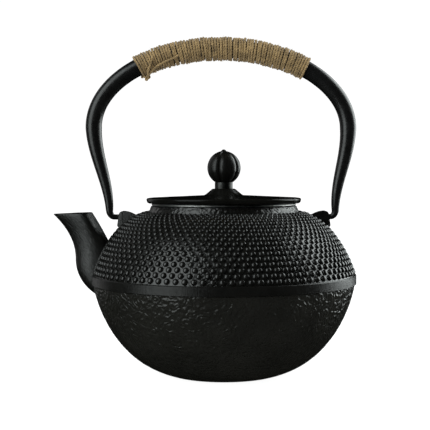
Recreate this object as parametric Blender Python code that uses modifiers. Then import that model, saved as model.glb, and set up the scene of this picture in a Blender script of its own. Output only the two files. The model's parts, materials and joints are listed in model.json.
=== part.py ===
"""Cast iron teapot: hobnailed pot with spout and lugs, swinging bail with a bound grip, lid, steel infuser.

Frame: metres, +Z up, origin at the middle of the flat base. The spout points along -X and the bail stands
in the XZ plane. Run it in Blender's text editor, or with blender --background --python part.py.
"""

import math

import bmesh
import bpy
from mathutils import Matrix

MM = 0.001
CLEARANCE = 0.3 * MM  # gap kept between two pieces that rest on each other

# Pot: bowl, band, shoulder and neck
BASE_RADIUS = 35.8 * MM
BAND_RADIUS = 84.2 * MM
BAND_STEP = 0.4 * MM  # how far the band stands proud of the bowl
BOWL_DEPTH = 63.3 * MM  # from the base to the top of the band
BAND_HEIGHT = 6.0 * MM
BOWL_DROOP = 1.58  # exponents of the bowl's outline: how early it turns in, and how full its lower corner is
BOWL_FULLNESS = 2.98
SHOULDER_HEIGHT = 39.2 * MM
SHOULDER_SET_BACK = 1.4 * MM  # the shoulder starts this far inside the band
SHOULDER_LEAN = math.radians(17.2)
SHOULDER_RISE = 19.5 * MM  # pull of the shoulder's curve at the band, and at the neck
SHOULDER_REACH = 14.2 * MM
NECK_BORE_RADIUS = 43.0 * MM
NECK_WALL = 3.2 * MM
NECK_FLARE = 1.9 * MM  # the neck is this much wider at its foot
NECK_HEIGHT = 4.1 * MM
WALL = 3.5 * MM
FLOOR = 4.0 * MM

# Spout: a tube of oval sections, each hung between a front and a back curve in the XZ plane
SPOUT_OVERHANG = 24.8 * MM  # the lip's tip, outside the band
SPOUT_TIP_DROP = 6.1 * MM  # below the top of the neck
SPOUT_MOUTH_LENGTH = 24.7 * MM
SPOUT_MOUTH_RISE = 1.6 * MM
SPOUT_BELLY_OUT = 10.7 * MM  # outside the band, and above it
SPOUT_BELLY_UP = 9.7 * MM
SPOUT_ROOT_DROP = 14.3 * MM  # below the top of the band
SPOUT_ROOT_DEPTH = 4.3 * MM  # inside the band's radius
SPOUT_ROOT_LENGTH = 14.0 * MM
SPOUT_MOUTH_HALF_WIDTH = 7.6 * MM
SPOUT_ROOT_HALF_WIDTH = 12.6 * MM
SPOUT_BEAK = 0.62  # how far the mouth's front narrows to a lip, from 0 to 1
SPOUT_WALL = 2.8 * MM
TIP_PULL = (8.6 * MM, 8.3 * MM)  # pulls of the spout's curves: inwards and down from the lip's tip
BELLY_PULL_UP = 11.0 * MM
BELLY_PULL_DOWN = 10.0 * MM
ROOT_PULL = (10.0 * MM, 5.5 * MM)  # outwards and up from the root
CORNER_PULL = (12.7 * MM, 20.4 * MM)  # inwards and down from the mouth's back corner
HEEL_PULL = (2.0 * MM, 16.0 * MM)  # inwards and up from the back of the root
STRAINER_HOLE_RADIUS = 1.9 * MM
STRAINER_BRIDGE = 1.6 * MM  # iron left between two holes
STRAINER_LEVEL = 0.72  # share of the way up from the spout's root to its belly

# Lugs and the bail's pivot
LUG_SET_IN = 16.3 * MM  # from the band's radius in to a lug's outer face
LUG_END_WALL = 4.1 * MM  # iron behind the blind bore
LUG_BACK_DROP = 3.0 * MM  # from a lug's top down to its back corner
LUG_WIDTH = 11.0 * MM
LUG_CAP = 1.8 * MM  # iron above the bore
LUG_ROUNDING = 1.4 * MM
PIVOT_DROP = 7.1 * MM  # below the top of the neck
PIN_RADIUS = 1.7 * MM
PIN_DEPTH = 7.4 * MM  # how far a bail end reaches into its lug
PIN_END_GAP = 1.0 * MM

# Bail
BAIL_HALF_SPAN = 81.1 * MM
BAIL_RISE = 107.0 * MM  # from the pivot up to the rod's centre line at the top
BAIL_WIDEST_RISE = 56.7 * MM
BAIL_FOOT_OFFSET = 4.3 * MM  # from a lug's face out to the leg's centre line
HOOK_RISE = 4.4 * MM
HOOK_START = 1.1 * MM  # where the pin starts to bend, outside a lug's face
FOOT_ROD_RADIUS = 2.35 * MM
SIDE_ROD_RADIUS = 5.2 * MM
TOP_ROD_RADIUS = 5.7 * MM
LEG_TAPER = 0.85
LEG_PULL = 18.0 * MM
BAIL_SET = 0.8 * MM  # the bail sits a little towards the spout, and leans that way
BAIL_LEAN = 0.0245

# Bound grip: angles along the bail's arch, from its top
TWINE_THICKNESS = 1.6 * MM
GRIP_START = math.radians(-40.0)
GRIP_END = math.radians(42.7)
CORE_OVERRUN = math.radians(3.0)  # the sleeve's core is cut this far past its ends

# Infuser
INFUSER_RIM_INSET = 0.2 * MM  # inside the neck's outer edge
INFUSER_RIM_THICKNESS = 1.0 * MM
INFUSER_COLLAR_DEPTH = 6.5 * MM
INFUSER_COLLAR_WALL = 1.0 * MM
INFUSER_SIDE_GAP = 0.7 * MM
BASKET_WALL = 0.6 * MM
BASKET_DEPTH = 50.0 * MM
BASKET_CORNER = 5.0 * MM

# Lid
LID_OVERHANG = 3.4 * MM  # outside the infuser's rim
LID_RIM_THICKNESS = 3.5 * MM
LID_CROWN = 1.7 * MM  # rise from the rim to the foot of the boss
LID_THICKNESS = 2.8 * MM
LID_SKIRT_DEPTH = 6.0 * MM
LID_SKIRT_WALL = 2.2 * MM
LID_SKIRT_GAP = 0.8 * MM
BOSS_FOOT_RADIUS = 11.6 * MM
BOSS_TOP_RADIUS = 7.2 * MM
BOSS_HEIGHT = 4.1 * MM
BOSS_EDGE = 0.6 * MM
BOSS_WAIST = (0.45, 0.6)  # shares of the boss's flare and of its height where its side bends outwards
VENT_RADIUS = 1.5 * MM
VENT_FROM_SKIRT = 6.4 * MM

# Knob and its fastening
STUD_RADIUS = 2.0 * MM
STUD_IN_BALL = 7.0 * MM
STUD_BELOW_NUT = 1.0 * MM
COLLAR_WALL = 3.4 * MM
COLLAR_HEIGHT = 3.3 * MM
COLLAR_EDGE = 0.4 * MM
BALL_RADIUS = 10.8 * MM
BALL_LOBES = 5
BALL_GROOVE = 0.7 * MM
BALL_TIP = 0.8 * MM  # a small point on the ball's crown, and how far down the crown it spreads
BALL_TIP_SPREAD = 0.2
BALL_FOOT_INSET = 0.3 * MM  # the ball's flat foot ends this far inside the collar
WASHER_WIDTH = 2.7 * MM
WASHER_THICKNESS = 0.8 * MM
NUT_WALL = 1.7 * MM
NUT_HEIGHT = 3.0 * MM

# Facets
POT_STEPS = 56
LID_STEPS = 48
SMALL_STEPS = 24
HOLE_SIDES = 16
SPOUT_RINGS = 14
SPOUT_SIDES = 24
ARCH_STEPS = 14
LEG_STEPS = 11
HOOK_STEPS = 6
GRIP_STEPS = 24
ROD_RESOLUTION = 4
BALL_ROWS = 14

# Places and fits that follow from the sizes above, bottom to top
BAND_TOP = BOWL_DEPTH
NECK_BASE = BAND_TOP + SHOULDER_HEIGHT
NECK_TOP = NECK_BASE + NECK_HEIGHT
NECK_TOP_RADIUS = NECK_BORE_RADIUS + NECK_WALL
NECK_BASE_RADIUS = NECK_TOP_RADIUS + NECK_FLARE
SPOUT_REACH = BAND_RADIUS + SPOUT_OVERHANG
SPOUT_TIP_HEIGHT = NECK_TOP - SPOUT_TIP_DROP
SPOUT_BELLY_RADIUS = BAND_RADIUS + SPOUT_BELLY_OUT
SPOUT_BELLY_HEIGHT = BAND_TOP + SPOUT_BELLY_UP
SPOUT_ROOT_RADIUS = BAND_RADIUS - SPOUT_ROOT_DEPTH
SPOUT_ROOT_HEIGHT = BAND_TOP - SPOUT_ROOT_DROP
LUG_FACE = BAND_RADIUS - LUG_SET_IN
BORE_END = LUG_FACE - PIN_DEPTH - PIN_END_GAP
LUG_BACK = BORE_END - LUG_END_WALL
PIVOT_HEIGHT = NECK_TOP - PIVOT_DROP
LUG_BORE_RADIUS = PIN_RADIUS + CLEARANCE
LUG_TOP = PIVOT_HEIGHT + LUG_BORE_RADIUS + LUG_CAP
BAIL_WIDEST = PIVOT_HEIGHT + BAIL_WIDEST_RISE
BAIL_TOP = PIVOT_HEIGHT + BAIL_RISE
GRIP_RADIUS = TOP_ROD_RADIUS + TWINE_THICKNESS
RIM_BOTTOM = NECK_TOP + CLEARANCE
RIM_TOP = RIM_BOTTOM + INFUSER_RIM_THICKNESS
RIM_RADIUS = NECK_TOP_RADIUS - INFUSER_RIM_INSET
COLLAR_OUTER = NECK_BORE_RADIUS - INFUSER_SIDE_GAP
COLLAR_INNER = COLLAR_OUTER - INFUSER_COLLAR_WALL
BASKET_RADIUS = COLLAR_INNER - CLEARANCE
LID_BOTTOM = RIM_TOP + CLEARANCE
LID_RADIUS = RIM_RADIUS + LID_OVERHANG
LID_TOP = LID_BOTTOM + LID_RIM_THICKNESS + LID_CROWN
LID_UNDERSIDE = LID_TOP - LID_THICKNESS
SKIRT_OUTER = BASKET_RADIUS - BASKET_WALL - LID_SKIRT_GAP
SKIRT_INNER = SKIRT_OUTER - LID_SKIRT_WALL
VENT_OFFSET = SKIRT_INNER - VENT_FROM_SKIRT
BOSS_TOP = LID_TOP + BOSS_HEIGHT
BORE_RADIUS = STUD_RADIUS + CLEARANCE
KNOB_COLLAR_RADIUS = BORE_RADIUS + COLLAR_WALL
COLLAR_BOTTOM = BOSS_TOP + CLEARANCE
COLLAR_TOP = COLLAR_BOTTOM + COLLAR_HEIGHT
BALL_FOOT_RADIUS = KNOB_COLLAR_RADIUS - BALL_FOOT_INSET
BALL_BOTTOM = COLLAR_TOP + CLEARANCE
BALL_CENTRE = BALL_BOTTOM + math.sqrt(BALL_RADIUS**2 - BALL_FOOT_RADIUS**2)
STUD_TOP = BALL_BOTTOM + STUD_IN_BALL
WASHER_TOP = LID_UNDERSIDE - CLEARANCE
WASHER_BOTTOM = WASHER_TOP - WASHER_THICKNESS
NUT_TOP = WASHER_BOTTOM - CLEARANCE
NUT_BOTTOM = NUT_TOP - NUT_HEIGHT

COLOURS = {
    "cast_iron": ((0.012, 0.012, 0.011), 0.55, 0.6),
    "black_steel": ((0.015, 0.016, 0.016), 0.4, 0.7),
    "dull_steel": ((0.11, 0.11, 0.108), 0.35, 0.9),
    "stainless_steel": ((0.42, 0.42, 0.41), 0.3, 1.0),
    "hemp_twine": ((0.16, 0.115, 0.058), 0.9, 0.0),
}


# Points and curves

def between(start, end, share):
    return start + (end - start) * share


def bezier(start, pull_start, pull_end, end, share):
    """A point of a cubic curve, share of the way along."""
    rest = 1.0 - share
    weights = (rest**3, 3 * rest**2 * share, 3 * rest * share**2, share**3)
    corners = (start, pull_start, pull_end, end)
    return tuple(sum(w * c[axis] for w, c in zip(weights, corners)) for axis in range(2))


def arc(centre, radius, start_degrees, end_degrees, count):
    """Points on a circle in the profile's plane."""
    angles = [math.radians(between(start_degrees, end_degrees, i / (count - 1))) for i in range(count)]
    return [(centre[0] + radius * math.cos(a), centre[1] + radius * math.sin(a)) for a in angles]


def moved_inwards(points, distance):
    """An outline that runs down an outer side, moved square to itself towards the axis."""
    result = []
    for i, (radius, height) in enumerate(points):
        before = points[max(i - 1, 0)]
        after = points[min(i + 1, len(points) - 1)]
        along = (after[0] - before[0], after[1] - before[1])
        length = math.hypot(*along)
        result.append((radius + distance * along[1] / length, height - distance * along[0] / length))
    return result


# Objects

def clear_scene():
    for obj in list(bpy.data.objects):
        bpy.data.objects.remove(obj, do_unlink=True)


def new_collection(name):
    collection = bpy.data.collections.new(name)
    bpy.context.scene.collection.children.link(collection)
    return collection


def add_object(name, data, collection):
    obj = bpy.data.objects.new(name, data)
    collection.objects.link(obj)
    if collection == CUTTERS:
        obj.hide_render = True
        obj.display_type = "WIRE"
    return obj


def finish_part(obj, material_name):
    """Gives a part its own material."""
    colour, roughness, metallic = COLOURS[material_name]
    material = bpy.data.materials.new(f"{obj.name}_{material_name}")
    material.use_nodes = True
    shader = material.node_tree.nodes["Principled BSDF"]
    shader.inputs["Base Color"].default_value = (*colour, 1.0)
    shader.inputs["Roughness"].default_value = roughness
    shader.inputs["Metallic"].default_value = metallic
    obj.data.materials.append(material)


def turned(name, profile, steps, collection, closed=False):
    """A turned shape. The profile runs down the outer side, and a closed one makes a ring."""
    mesh = bpy.data.meshes.new(name)
    edges = [(i, i + 1) for i in range(len(profile) - 1)]
    if closed:
        edges.append((len(profile) - 1, 0))
    mesh.from_pydata([(radius, 0.0, height) for radius, height in profile], edges, [])
    obj = add_object(name, mesh, collection)
    screw = obj.modifiers.new("Turn", "SCREW")
    screw.angle = math.tau
    screw.steps = steps
    screw.render_steps = steps
    screw.use_merge_vertices = True
    screw.merge_threshold = 0.00001
    screw.use_smooth_shade = True
    return obj


def cylinder(name, radius, bottom, top, sides, collection):
    """An upright cylinder on the pot's axis."""
    mesh = bpy.data.meshes.new(name)
    shape = bmesh.new()
    middle = Matrix.Translation((0.0, 0.0, (bottom + top) / 2))
    bmesh.ops.create_cone(shape, cap_ends=True, segments=sides, radius1=radius, radius2=radius,
                          depth=top - bottom, matrix=middle)
    shape.to_mesh(mesh)
    shape.free()
    return add_object(name, mesh, collection)


def lying_cylinder(shape, radius, start_x, end_x, y, z, sides):
    """Adds a cylinder along X to a shape that is being made."""
    place = Matrix.Translation(((start_x + end_x) / 2, y, z)) @ Matrix.Rotation(math.pi / 2, 4, "Y")
    bmesh.ops.create_cone(shape, cap_ends=True, segments=sides, radius1=radius, radius2=radius,
                          depth=abs(end_x - start_x), matrix=place)


def combine(obj, other, operation):
    boolean = obj.modifiers.new(f"{operation.title()} {other.name}", "BOOLEAN")
    boolean.operation = operation
    boolean.solver = "EXACT"
    boolean.object = other


def mesh_of(obj, collection):
    """The curve object as a mesh object of the same name and place, with its end caps welded on."""
    bpy.context.view_layer.update()
    graph = bpy.context.evaluated_depsgraph_get()
    mesh = bpy.data.meshes.new_from_object(obj.evaluated_get(graph))
    shape = bmesh.new()
    shape.from_mesh(mesh)
    bmesh.ops.remove_doubles(shape, verts=shape.verts, dist=0.00001)
    shape.to_mesh(mesh)
    shape.free()
    name = obj.name
    place = obj.matrix_world.copy()
    bpy.data.objects.remove(obj, do_unlink=True)
    mesh_object = add_object(name, mesh, collection)
    mesh_object.matrix_world = place
    return mesh_object


def pivot_empty(name, height):
    """An empty on the pot's axis that carries a moving body."""
    empty = bpy.data.objects.new(name, None)
    empty.location.z = height
    PARTS.objects.link(empty)
    return empty


def carry(empty, *pieces):
    for piece in pieces:
        piece.parent = empty
        piece.location = piece.location - empty.location


# Pot

def bowl_outline(radius, floor, top, count):
    """From under the band down to the edge of the flat base."""
    base_share = BASE_RADIUS / (BAND_RADIUS - BAND_STEP)
    span = (1.0 - base_share**BOWL_FULLNESS) ** (1.0 / BOWL_DROOP)
    points = []
    for i in range(count):
        share = math.sin(between(0.0, math.pi / 2, i / (count - 1)))
        width = (1.0 - (share * span) ** BOWL_DROOP) ** (1.0 / BOWL_FULLNESS)
        points.append((radius * width, between(top, floor, share)))
    return points


def shoulder_outline(count):
    """From the neck's foot down to the ledge above the band."""
    ledge = (BAND_RADIUS - SHOULDER_SET_BACK, BAND_TOP)
    ledge_pull = (ledge[0] - SHOULDER_RISE * math.sin(SHOULDER_LEAN),
                  ledge[1] + SHOULDER_RISE * math.cos(SHOULDER_LEAN))
    neck = (NECK_BASE_RADIUS, NECK_BASE)
    neck_pull = (neck[0] + SHOULDER_REACH, neck[1])
    return [bezier(neck, neck_pull, ledge_pull, ledge, i / (count - 1)) for i in range(count)]


def shoulder_height(radius):
    """Height of the shoulder's surface at a radius."""
    outline = shoulder_outline(60)
    return min(outline, key=lambda point: abs(point[0] - radius))[1]


def pot_outline():
    bowl_radius = BAND_RADIUS - BAND_STEP
    band_bottom = BAND_TOP - BAND_HEIGHT
    edge = BAND_STEP
    neck = [(0.0, NECK_TOP), (NECK_TOP_RADIUS - edge, NECK_TOP), (NECK_TOP_RADIUS, NECK_TOP - edge)]
    band = [(BAND_RADIUS - edge, BAND_TOP), (BAND_RADIUS, BAND_TOP - edge)]
    band.append((BAND_RADIUS, band_bottom + edge))
    bowl = [point for point in bowl_outline(bowl_radius, 0.0, BAND_TOP, 11) if point[1] < band_bottom]
    return neck + shoulder_outline(9) + band + bowl + [(0.0, 0.0)]


def cavity_outline():
    """The inside of the pot, open through the neck."""
    roof = [point for point in moved_inwards(shoulder_outline(9), WALL) if point[0] > NECK_BORE_RADIUS]
    bowl_radius = BAND_RADIUS - BAND_STEP - WALL
    bowl = bowl_outline(bowl_radius, FLOOR, BAND_TOP - WALL, 9)
    above = NECK_TOP + WALL
    mouth = [(0.0, above), (NECK_BORE_RADIUS, above), (NECK_BORE_RADIUS, roof[0][1])]
    return mouth + roof + bowl + [(0.0, FLOOR)]


def spout_front(share):
    """The spout's front edge, from the lip's tip down to the root, in the XZ plane."""
    tip = (-SPOUT_REACH, SPOUT_TIP_HEIGHT)
    belly = (-SPOUT_BELLY_RADIUS, SPOUT_BELLY_HEIGHT)
    if share < 0.5:
        tip_pull = (tip[0] + TIP_PULL[0], tip[1] - TIP_PULL[1])
        belly_pull = (belly[0], belly[1] + BELLY_PULL_UP)
        return bezier(tip, tip_pull, belly_pull, belly, share * 2)
    root = (-SPOUT_ROOT_RADIUS, SPOUT_ROOT_HEIGHT)
    belly_pull = (belly[0], belly[1] - BELLY_PULL_DOWN)
    root_pull = (root[0] - ROOT_PULL[0], root[1] + ROOT_PULL[1])
    return bezier(belly, belly_pull, root_pull, root, share * 2 - 1)


def spout_back(share):
    """The spout's back edge, from the mouth's corner down into the pot."""
    corner = (-SPOUT_REACH + SPOUT_MOUTH_LENGTH, SPOUT_TIP_HEIGHT + SPOUT_MOUTH_RISE)
    corner_pull = (corner[0] + CORNER_PULL[0], corner[1] - CORNER_PULL[1])
    heel = (-SPOUT_ROOT_RADIUS + SPOUT_ROOT_LENGTH, SPOUT_ROOT_HEIGHT)
    heel_pull = (heel[0] + HEEL_PULL[0], heel[1] + HEEL_PULL[1])
    return bezier(corner, corner_pull, heel_pull, heel, share)


def spout_ring(share, inset):
    """One oval section of the spout. It narrows to a lip at the front, the more so near the mouth."""
    front = spout_front(share)
    back = spout_back(share)
    length = math.hypot(back[0] - front[0], back[1] - front[1])
    along = ((front[0] - back[0]) / length, (front[1] - back[1]) / length)
    middle = ((front[0] + back[0]) / 2, (front[1] + back[1]) / 2)
    half_length = length / 2 - inset
    half_width = between(SPOUT_MOUTH_HALF_WIDTH, SPOUT_ROOT_HALF_WIDTH, math.sqrt(share)) - inset
    beak = SPOUT_BEAK * (1.0 - share) ** 2
    ring = []
    for i in range(SPOUT_SIDES):
        angle = math.tau * i / SPOUT_SIDES
        reach = half_length * math.cos(angle)
        width = half_width * math.sin(angle) * (1.0 - beak * math.cos(angle))
        ring.append((middle[0] + reach * along[0], width, middle[1] + reach * along[1]))
    return ring


def spout_rings(inset):
    """Sections from the mouth down to the root, each drawn in by the inset."""
    return [spout_ring(i / (SPOUT_RINGS - 1), inset) for i in range(SPOUT_RINGS)]


def loft(name, rings, collection):
    """A closed solid through rings of points, one ring after another."""
    shape = bmesh.new()
    rows = [[shape.verts.new(point) for point in ring] for ring in rings]
    sides = len(rings[0])
    for upper, lower in zip(rows, rows[1:]):
        for i in range(sides):
            shape.faces.new((upper[i], upper[(i + 1) % sides], lower[(i + 1) % sides], lower[i]))
    shape.faces.new(rows[0])
    shape.faces.new(rows[-1])
    bmesh.ops.recalc_face_normals(shape, faces=shape.faces)
    mesh = bpy.data.meshes.new(name)
    shape.to_mesh(mesh)
    shape.free()
    return add_object(name, mesh, collection)


def make_spout_body():
    return loft("spout_body", spout_rings(0.0), CUTTERS)


def make_spout_channel(pot_solid):
    """The spout's bore. It ends at the pot's wall, where the strainer holes take over."""
    rings = spout_rings(SPOUT_WALL)
    above_mouth = [(x, y, z + SPOUT_WALL) for x, y, z in rings[0]]
    channel = loft("spout_channel", [above_mouth] + rings, CUTTERS)
    combine(channel, pot_solid, "DIFFERENCE")
    return channel


def make_strainer_holes():
    """A hexagon of holes, and one in its middle, through the wall behind the spout."""
    height = between(SPOUT_ROOT_HEIGHT, SPOUT_BELLY_HEIGHT, STRAINER_LEVEL)
    pitch = 2 * STRAINER_HOLE_RADIUS + STRAINER_BRIDGE
    places = [(0.0, height)]
    for i in range(6):
        angle = math.tau * i / 6
        places.append((pitch * math.cos(angle), height + pitch * math.sin(angle)))
    outer_end = -BAND_RADIUS - WALL / 2
    inner_end = -BAND_RADIUS + 4 * WALL
    shape = bmesh.new()
    for y, z in places:
        lying_cylinder(shape, STRAINER_HOLE_RADIUS, outer_end, inner_end, y, z, 10)
    mesh = bpy.data.meshes.new("strainer_holes")
    shape.to_mesh(mesh)
    shape.free()
    return add_object("strainer_holes", mesh, CUTTERS)


def make_lug(name, side):
    """The ear that holds one end of the bail. Its outline lies in the XZ plane."""
    outline = [
        (LUG_BACK, LUG_TOP - LUG_BACK_DROP),
        ((LUG_BACK + LUG_FACE) / 2, LUG_TOP),
        (LUG_FACE - 2 * LUG_ROUNDING, LUG_TOP),
        (LUG_FACE - LUG_ROUNDING / 2, LUG_TOP - 1.5 * LUG_ROUNDING),
        (LUG_FACE, shoulder_height(LUG_FACE)),
        (LUG_FACE - WALL, shoulder_height(LUG_FACE) - WALL),
        (LUG_BACK, shoulder_height(LUG_BACK) - 2 * WALL),
    ]
    curve = bpy.data.curves.new(name, "CURVE")
    curve.dimensions = "2D"
    curve.fill_mode = "BOTH"
    curve.extrude = LUG_WIDTH / 2
    spline = curve.splines.new("POLY")
    spline.points.add(len(outline) - 1)
    for point, (x, z) in zip(spline.points, outline):
        point.co = (side * x, z, 0.0, 1.0)
    spline.use_cyclic_u = True
    lug = add_object(name, curve, CUTTERS)
    lug.rotation_euler.x = math.pi / 2
    lug = mesh_of(lug, CUTTERS)
    rounding = lug.modifiers.new("Rounding", "BEVEL")
    rounding.width = LUG_ROUNDING
    rounding.segments = 2
    rounding.limit_method = "ANGLE"
    rounding.angle_limit = math.radians(60.0)
    return lug


def make_lug_bores():
    """Blind holes for the bail's ends, one in each lug."""
    shape = bmesh.new()
    for side in (-1, 1):
        inner_end = side * BORE_END
        outer_end = side * (LUG_FACE + WALL)
        lying_cylinder(shape, LUG_BORE_RADIUS, inner_end, outer_end, 0.0, PIVOT_HEIGHT, HOLE_SIDES)
    mesh = bpy.data.meshes.new("lug_bores")
    shape.to_mesh(mesh)
    shape.free()
    return add_object("lug_bores", mesh, CUTTERS)


def make_pot_body():
    outline = pot_outline()
    pot = turned("pot_body", outline, POT_STEPS, PARTS)
    pot_solid = turned("pot_solid", outline, POT_STEPS, CUTTERS)
    for joined in (make_spout_body(), make_lug("lug_left", -1), make_lug("lug_right", 1)):
        combine(pot, joined, "UNION")
    cavity = turned("pot_cavity", cavity_outline(), POT_STEPS, CUTTERS)
    for cutter in (cavity, make_spout_channel(pot_solid), make_strainer_holes(), make_lug_bores()):
        combine(pot, cutter, "DIFFERENCE")
    finish_part(pot, "cast_iron")
    return pot


# Bail and grip

def bail_leaning(x, z):
    return x - BAIL_SET - BAIL_LEAN * (z - PIVOT_HEIGHT)


def arch_point(angle):
    """A point of the bail's arch, with the rod's radius there. The angle is zero at the top."""
    x = BAIL_HALF_SPAN * math.sin(angle)
    z = BAIL_WIDEST + (BAIL_TOP - BAIL_WIDEST) * math.cos(angle)
    radius = between(TOP_ROD_RADIUS, SIDE_ROD_RADIUS, math.sin(abs(angle)) ** 2)
    return x, z, radius


def bail_half():
    """Centre line and rod radius from the top of the arch down one side to the end in the lug."""
    points = [arch_point(math.pi / 2 * i / ARCH_STEPS) for i in range(ARCH_STEPS + 1)]
    foot = (LUG_FACE + BAIL_FOOT_OFFSET, PIVOT_HEIGHT + HOOK_RISE)
    side = (BAIL_HALF_SPAN, BAIL_WIDEST)
    side_pull = (side[0], side[1] - LEG_PULL)
    foot_pull = (foot[0], foot[1] + LEG_PULL)
    for i in range(1, LEG_STEPS + 1):
        x, z = bezier(side, side_pull, foot_pull, foot, i / LEG_STEPS)
        fullness = ((z - foot[1]) / (side[1] - foot[1])) ** LEG_TAPER
        points.append((x, z, between(FOOT_ROD_RADIUS, SIDE_ROD_RADIUS, fullness)))
    bend_start = LUG_FACE + HOOK_START
    for i in range(1, HOOK_STEPS + 1):
        angle = math.pi / 2 * i / HOOK_STEPS
        x = between(bend_start, foot[0], math.cos(angle))
        z = foot[1] - HOOK_RISE * math.sin(angle)
        points.append((x, z, between(FOOT_ROD_RADIUS, PIN_RADIUS, i / HOOK_STEPS)))
    points.append((LUG_FACE - PIN_DEPTH, PIVOT_HEIGHT, PIN_RADIUS))
    return points


def rod(name, points, collection):
    """A round rod along points in the XZ plane, each with its own radius."""
    curve = bpy.data.curves.new(name, "CURVE")
    curve.dimensions = "3D"
    curve.bevel_depth = 1.0 * MM
    curve.bevel_resolution = ROD_RESOLUTION
    curve.use_fill_caps = True
    spline = curve.splines.new("POLY")
    spline.points.add(len(points) - 1)
    for point, (x, z, radius) in zip(spline.points, points):
        point.co = (bail_leaning(x, z), 0.0, z, 1.0)
        point.radius = radius / (1.0 * MM)
    return add_object(name, curve, collection)


def make_bail_handle():
    right = bail_half()
    left = [(-x, z, radius) for x, z, radius in reversed(right[1:])]
    bail = rod("bail_handle", left + right, PARTS)
    finish_part(bail, "black_steel")
    return bail


def grip_path(start, end):
    """Centre line and rod radius along the bound stretch of the arch."""
    return [arch_point(between(start, end, i / GRIP_STEPS)) for i in range(GRIP_STEPS + 1)]


def make_grip_wrap():
    """The sleeve of twine wound on the arch."""
    sleeve_path = [(x, z, GRIP_RADIUS) for x, z, _ in grip_path(GRIP_START, GRIP_END)]
    sleeve = mesh_of(rod("grip_wrap", sleeve_path, PARTS), PARTS)
    long_path = grip_path(GRIP_START - CORE_OVERRUN, GRIP_END + CORE_OVERRUN)
    core_path = [(x, z, radius + CLEARANCE) for x, z, radius in long_path]
    core = mesh_of(rod("grip_core", core_path, CUTTERS), CUTTERS)
    combine(sleeve, core, "DIFFERENCE")
    finish_part(sleeve, "hemp_twine")
    return sleeve, core


# Infuser

def make_infuser_rim():
    """The flange that hangs on the neck, with a collar turned down inside it."""
    half = INFUSER_RIM_THICKNESS / 2
    edge = arc((RIM_RADIUS - half, RIM_BOTTOM + half), half, 90.0, -90.0, 5)
    bottom = RIM_BOTTOM - INFUSER_COLLAR_DEPTH
    collar = [(COLLAR_OUTER, RIM_BOTTOM), (COLLAR_OUTER, bottom), (COLLAR_INNER, bottom)]
    profile = [(COLLAR_INNER, RIM_TOP)] + edge + collar
    rim = turned("infuser_rim", profile, LID_STEPS, PARTS, closed=True)
    finish_part(rim, "stainless_steel")
    return rim


def make_infuser_basket():
    """The cup that holds the leaves, drawn here without its perforations."""
    top = RIM_TOP - CLEARANCE
    bottom = top - BASKET_DEPTH
    corner = (BASKET_RADIUS - BASKET_CORNER, bottom + BASKET_CORNER)
    inside = [(0.0, bottom + BASKET_WALL)] + arc(corner, BASKET_CORNER - BASKET_WALL, -90.0, 0.0, 5)
    outside = arc(corner, BASKET_CORNER, 0.0, -90.0, 5) + [(0.0, bottom)]
    lip = [(BASKET_RADIUS - BASKET_WALL, top), (BASKET_RADIUS, top)]
    basket = turned("infuser_basket", inside + lip + outside, LID_STEPS, PARTS)
    finish_part(basket, "stainless_steel")
    return basket


# Lid and knob

def lid_profile():
    half = LID_RIM_THICKNESS / 2
    boss = [(BORE_RADIUS, BOSS_TOP), (BOSS_TOP_RADIUS - BOSS_EDGE, BOSS_TOP)]
    boss.append((BOSS_TOP_RADIUS, BOSS_TOP - BOSS_EDGE))
    waist_radius = between(BOSS_TOP_RADIUS, BOSS_FOOT_RADIUS, BOSS_WAIST[0])
    waist = (waist_radius, between(BOSS_TOP, LID_TOP, BOSS_WAIST[1]))
    foot = [waist, (BOSS_FOOT_RADIUS, LID_TOP)]
    edge = arc((LID_RADIUS - half, LID_BOTTOM + half), half, 80.0, -90.0, 7)
    skirt_bottom = LID_BOTTOM - LID_SKIRT_DEPTH
    skirt = [(SKIRT_OUTER, LID_BOTTOM), (SKIRT_OUTER, skirt_bottom), (SKIRT_INNER, skirt_bottom)]
    rim_underside = LID_BOTTOM + LID_RIM_THICKNESS - LID_THICKNESS
    underside = [(SKIRT_INNER, rim_underside), (BOSS_FOOT_RADIUS, LID_UNDERSIDE)]
    underside.append((BORE_RADIUS, LID_UNDERSIDE))
    return boss + foot + edge + skirt + underside


def make_lid():
    lid = turned("lid", lid_profile(), LID_STEPS, PARTS, closed=True)
    vent = cylinder("vent_cutter", VENT_RADIUS, LID_BOTTOM - LID_THICKNESS, BOSS_TOP, 12, CUTTERS)
    vent.location.y = VENT_OFFSET
    combine(lid, vent, "DIFFERENCE")
    finish_part(lid, "cast_iron")
    return lid, vent


def make_knob_collar():
    face = KNOB_COLLAR_RADIUS - COLLAR_EDGE
    upper = [(BORE_RADIUS, COLLAR_TOP), (face, COLLAR_TOP), (KNOB_COLLAR_RADIUS, COLLAR_TOP - COLLAR_EDGE)]
    lower_edge = (KNOB_COLLAR_RADIUS, COLLAR_BOTTOM + COLLAR_EDGE)
    profile = upper + [lower_edge, (face, COLLAR_BOTTOM), (BORE_RADIUS, COLLAR_BOTTOM)]
    collar = turned("knob_collar", profile, SMALL_STEPS, PARTS, closed=True)
    finish_part(collar, "dull_steel")
    return collar


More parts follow.
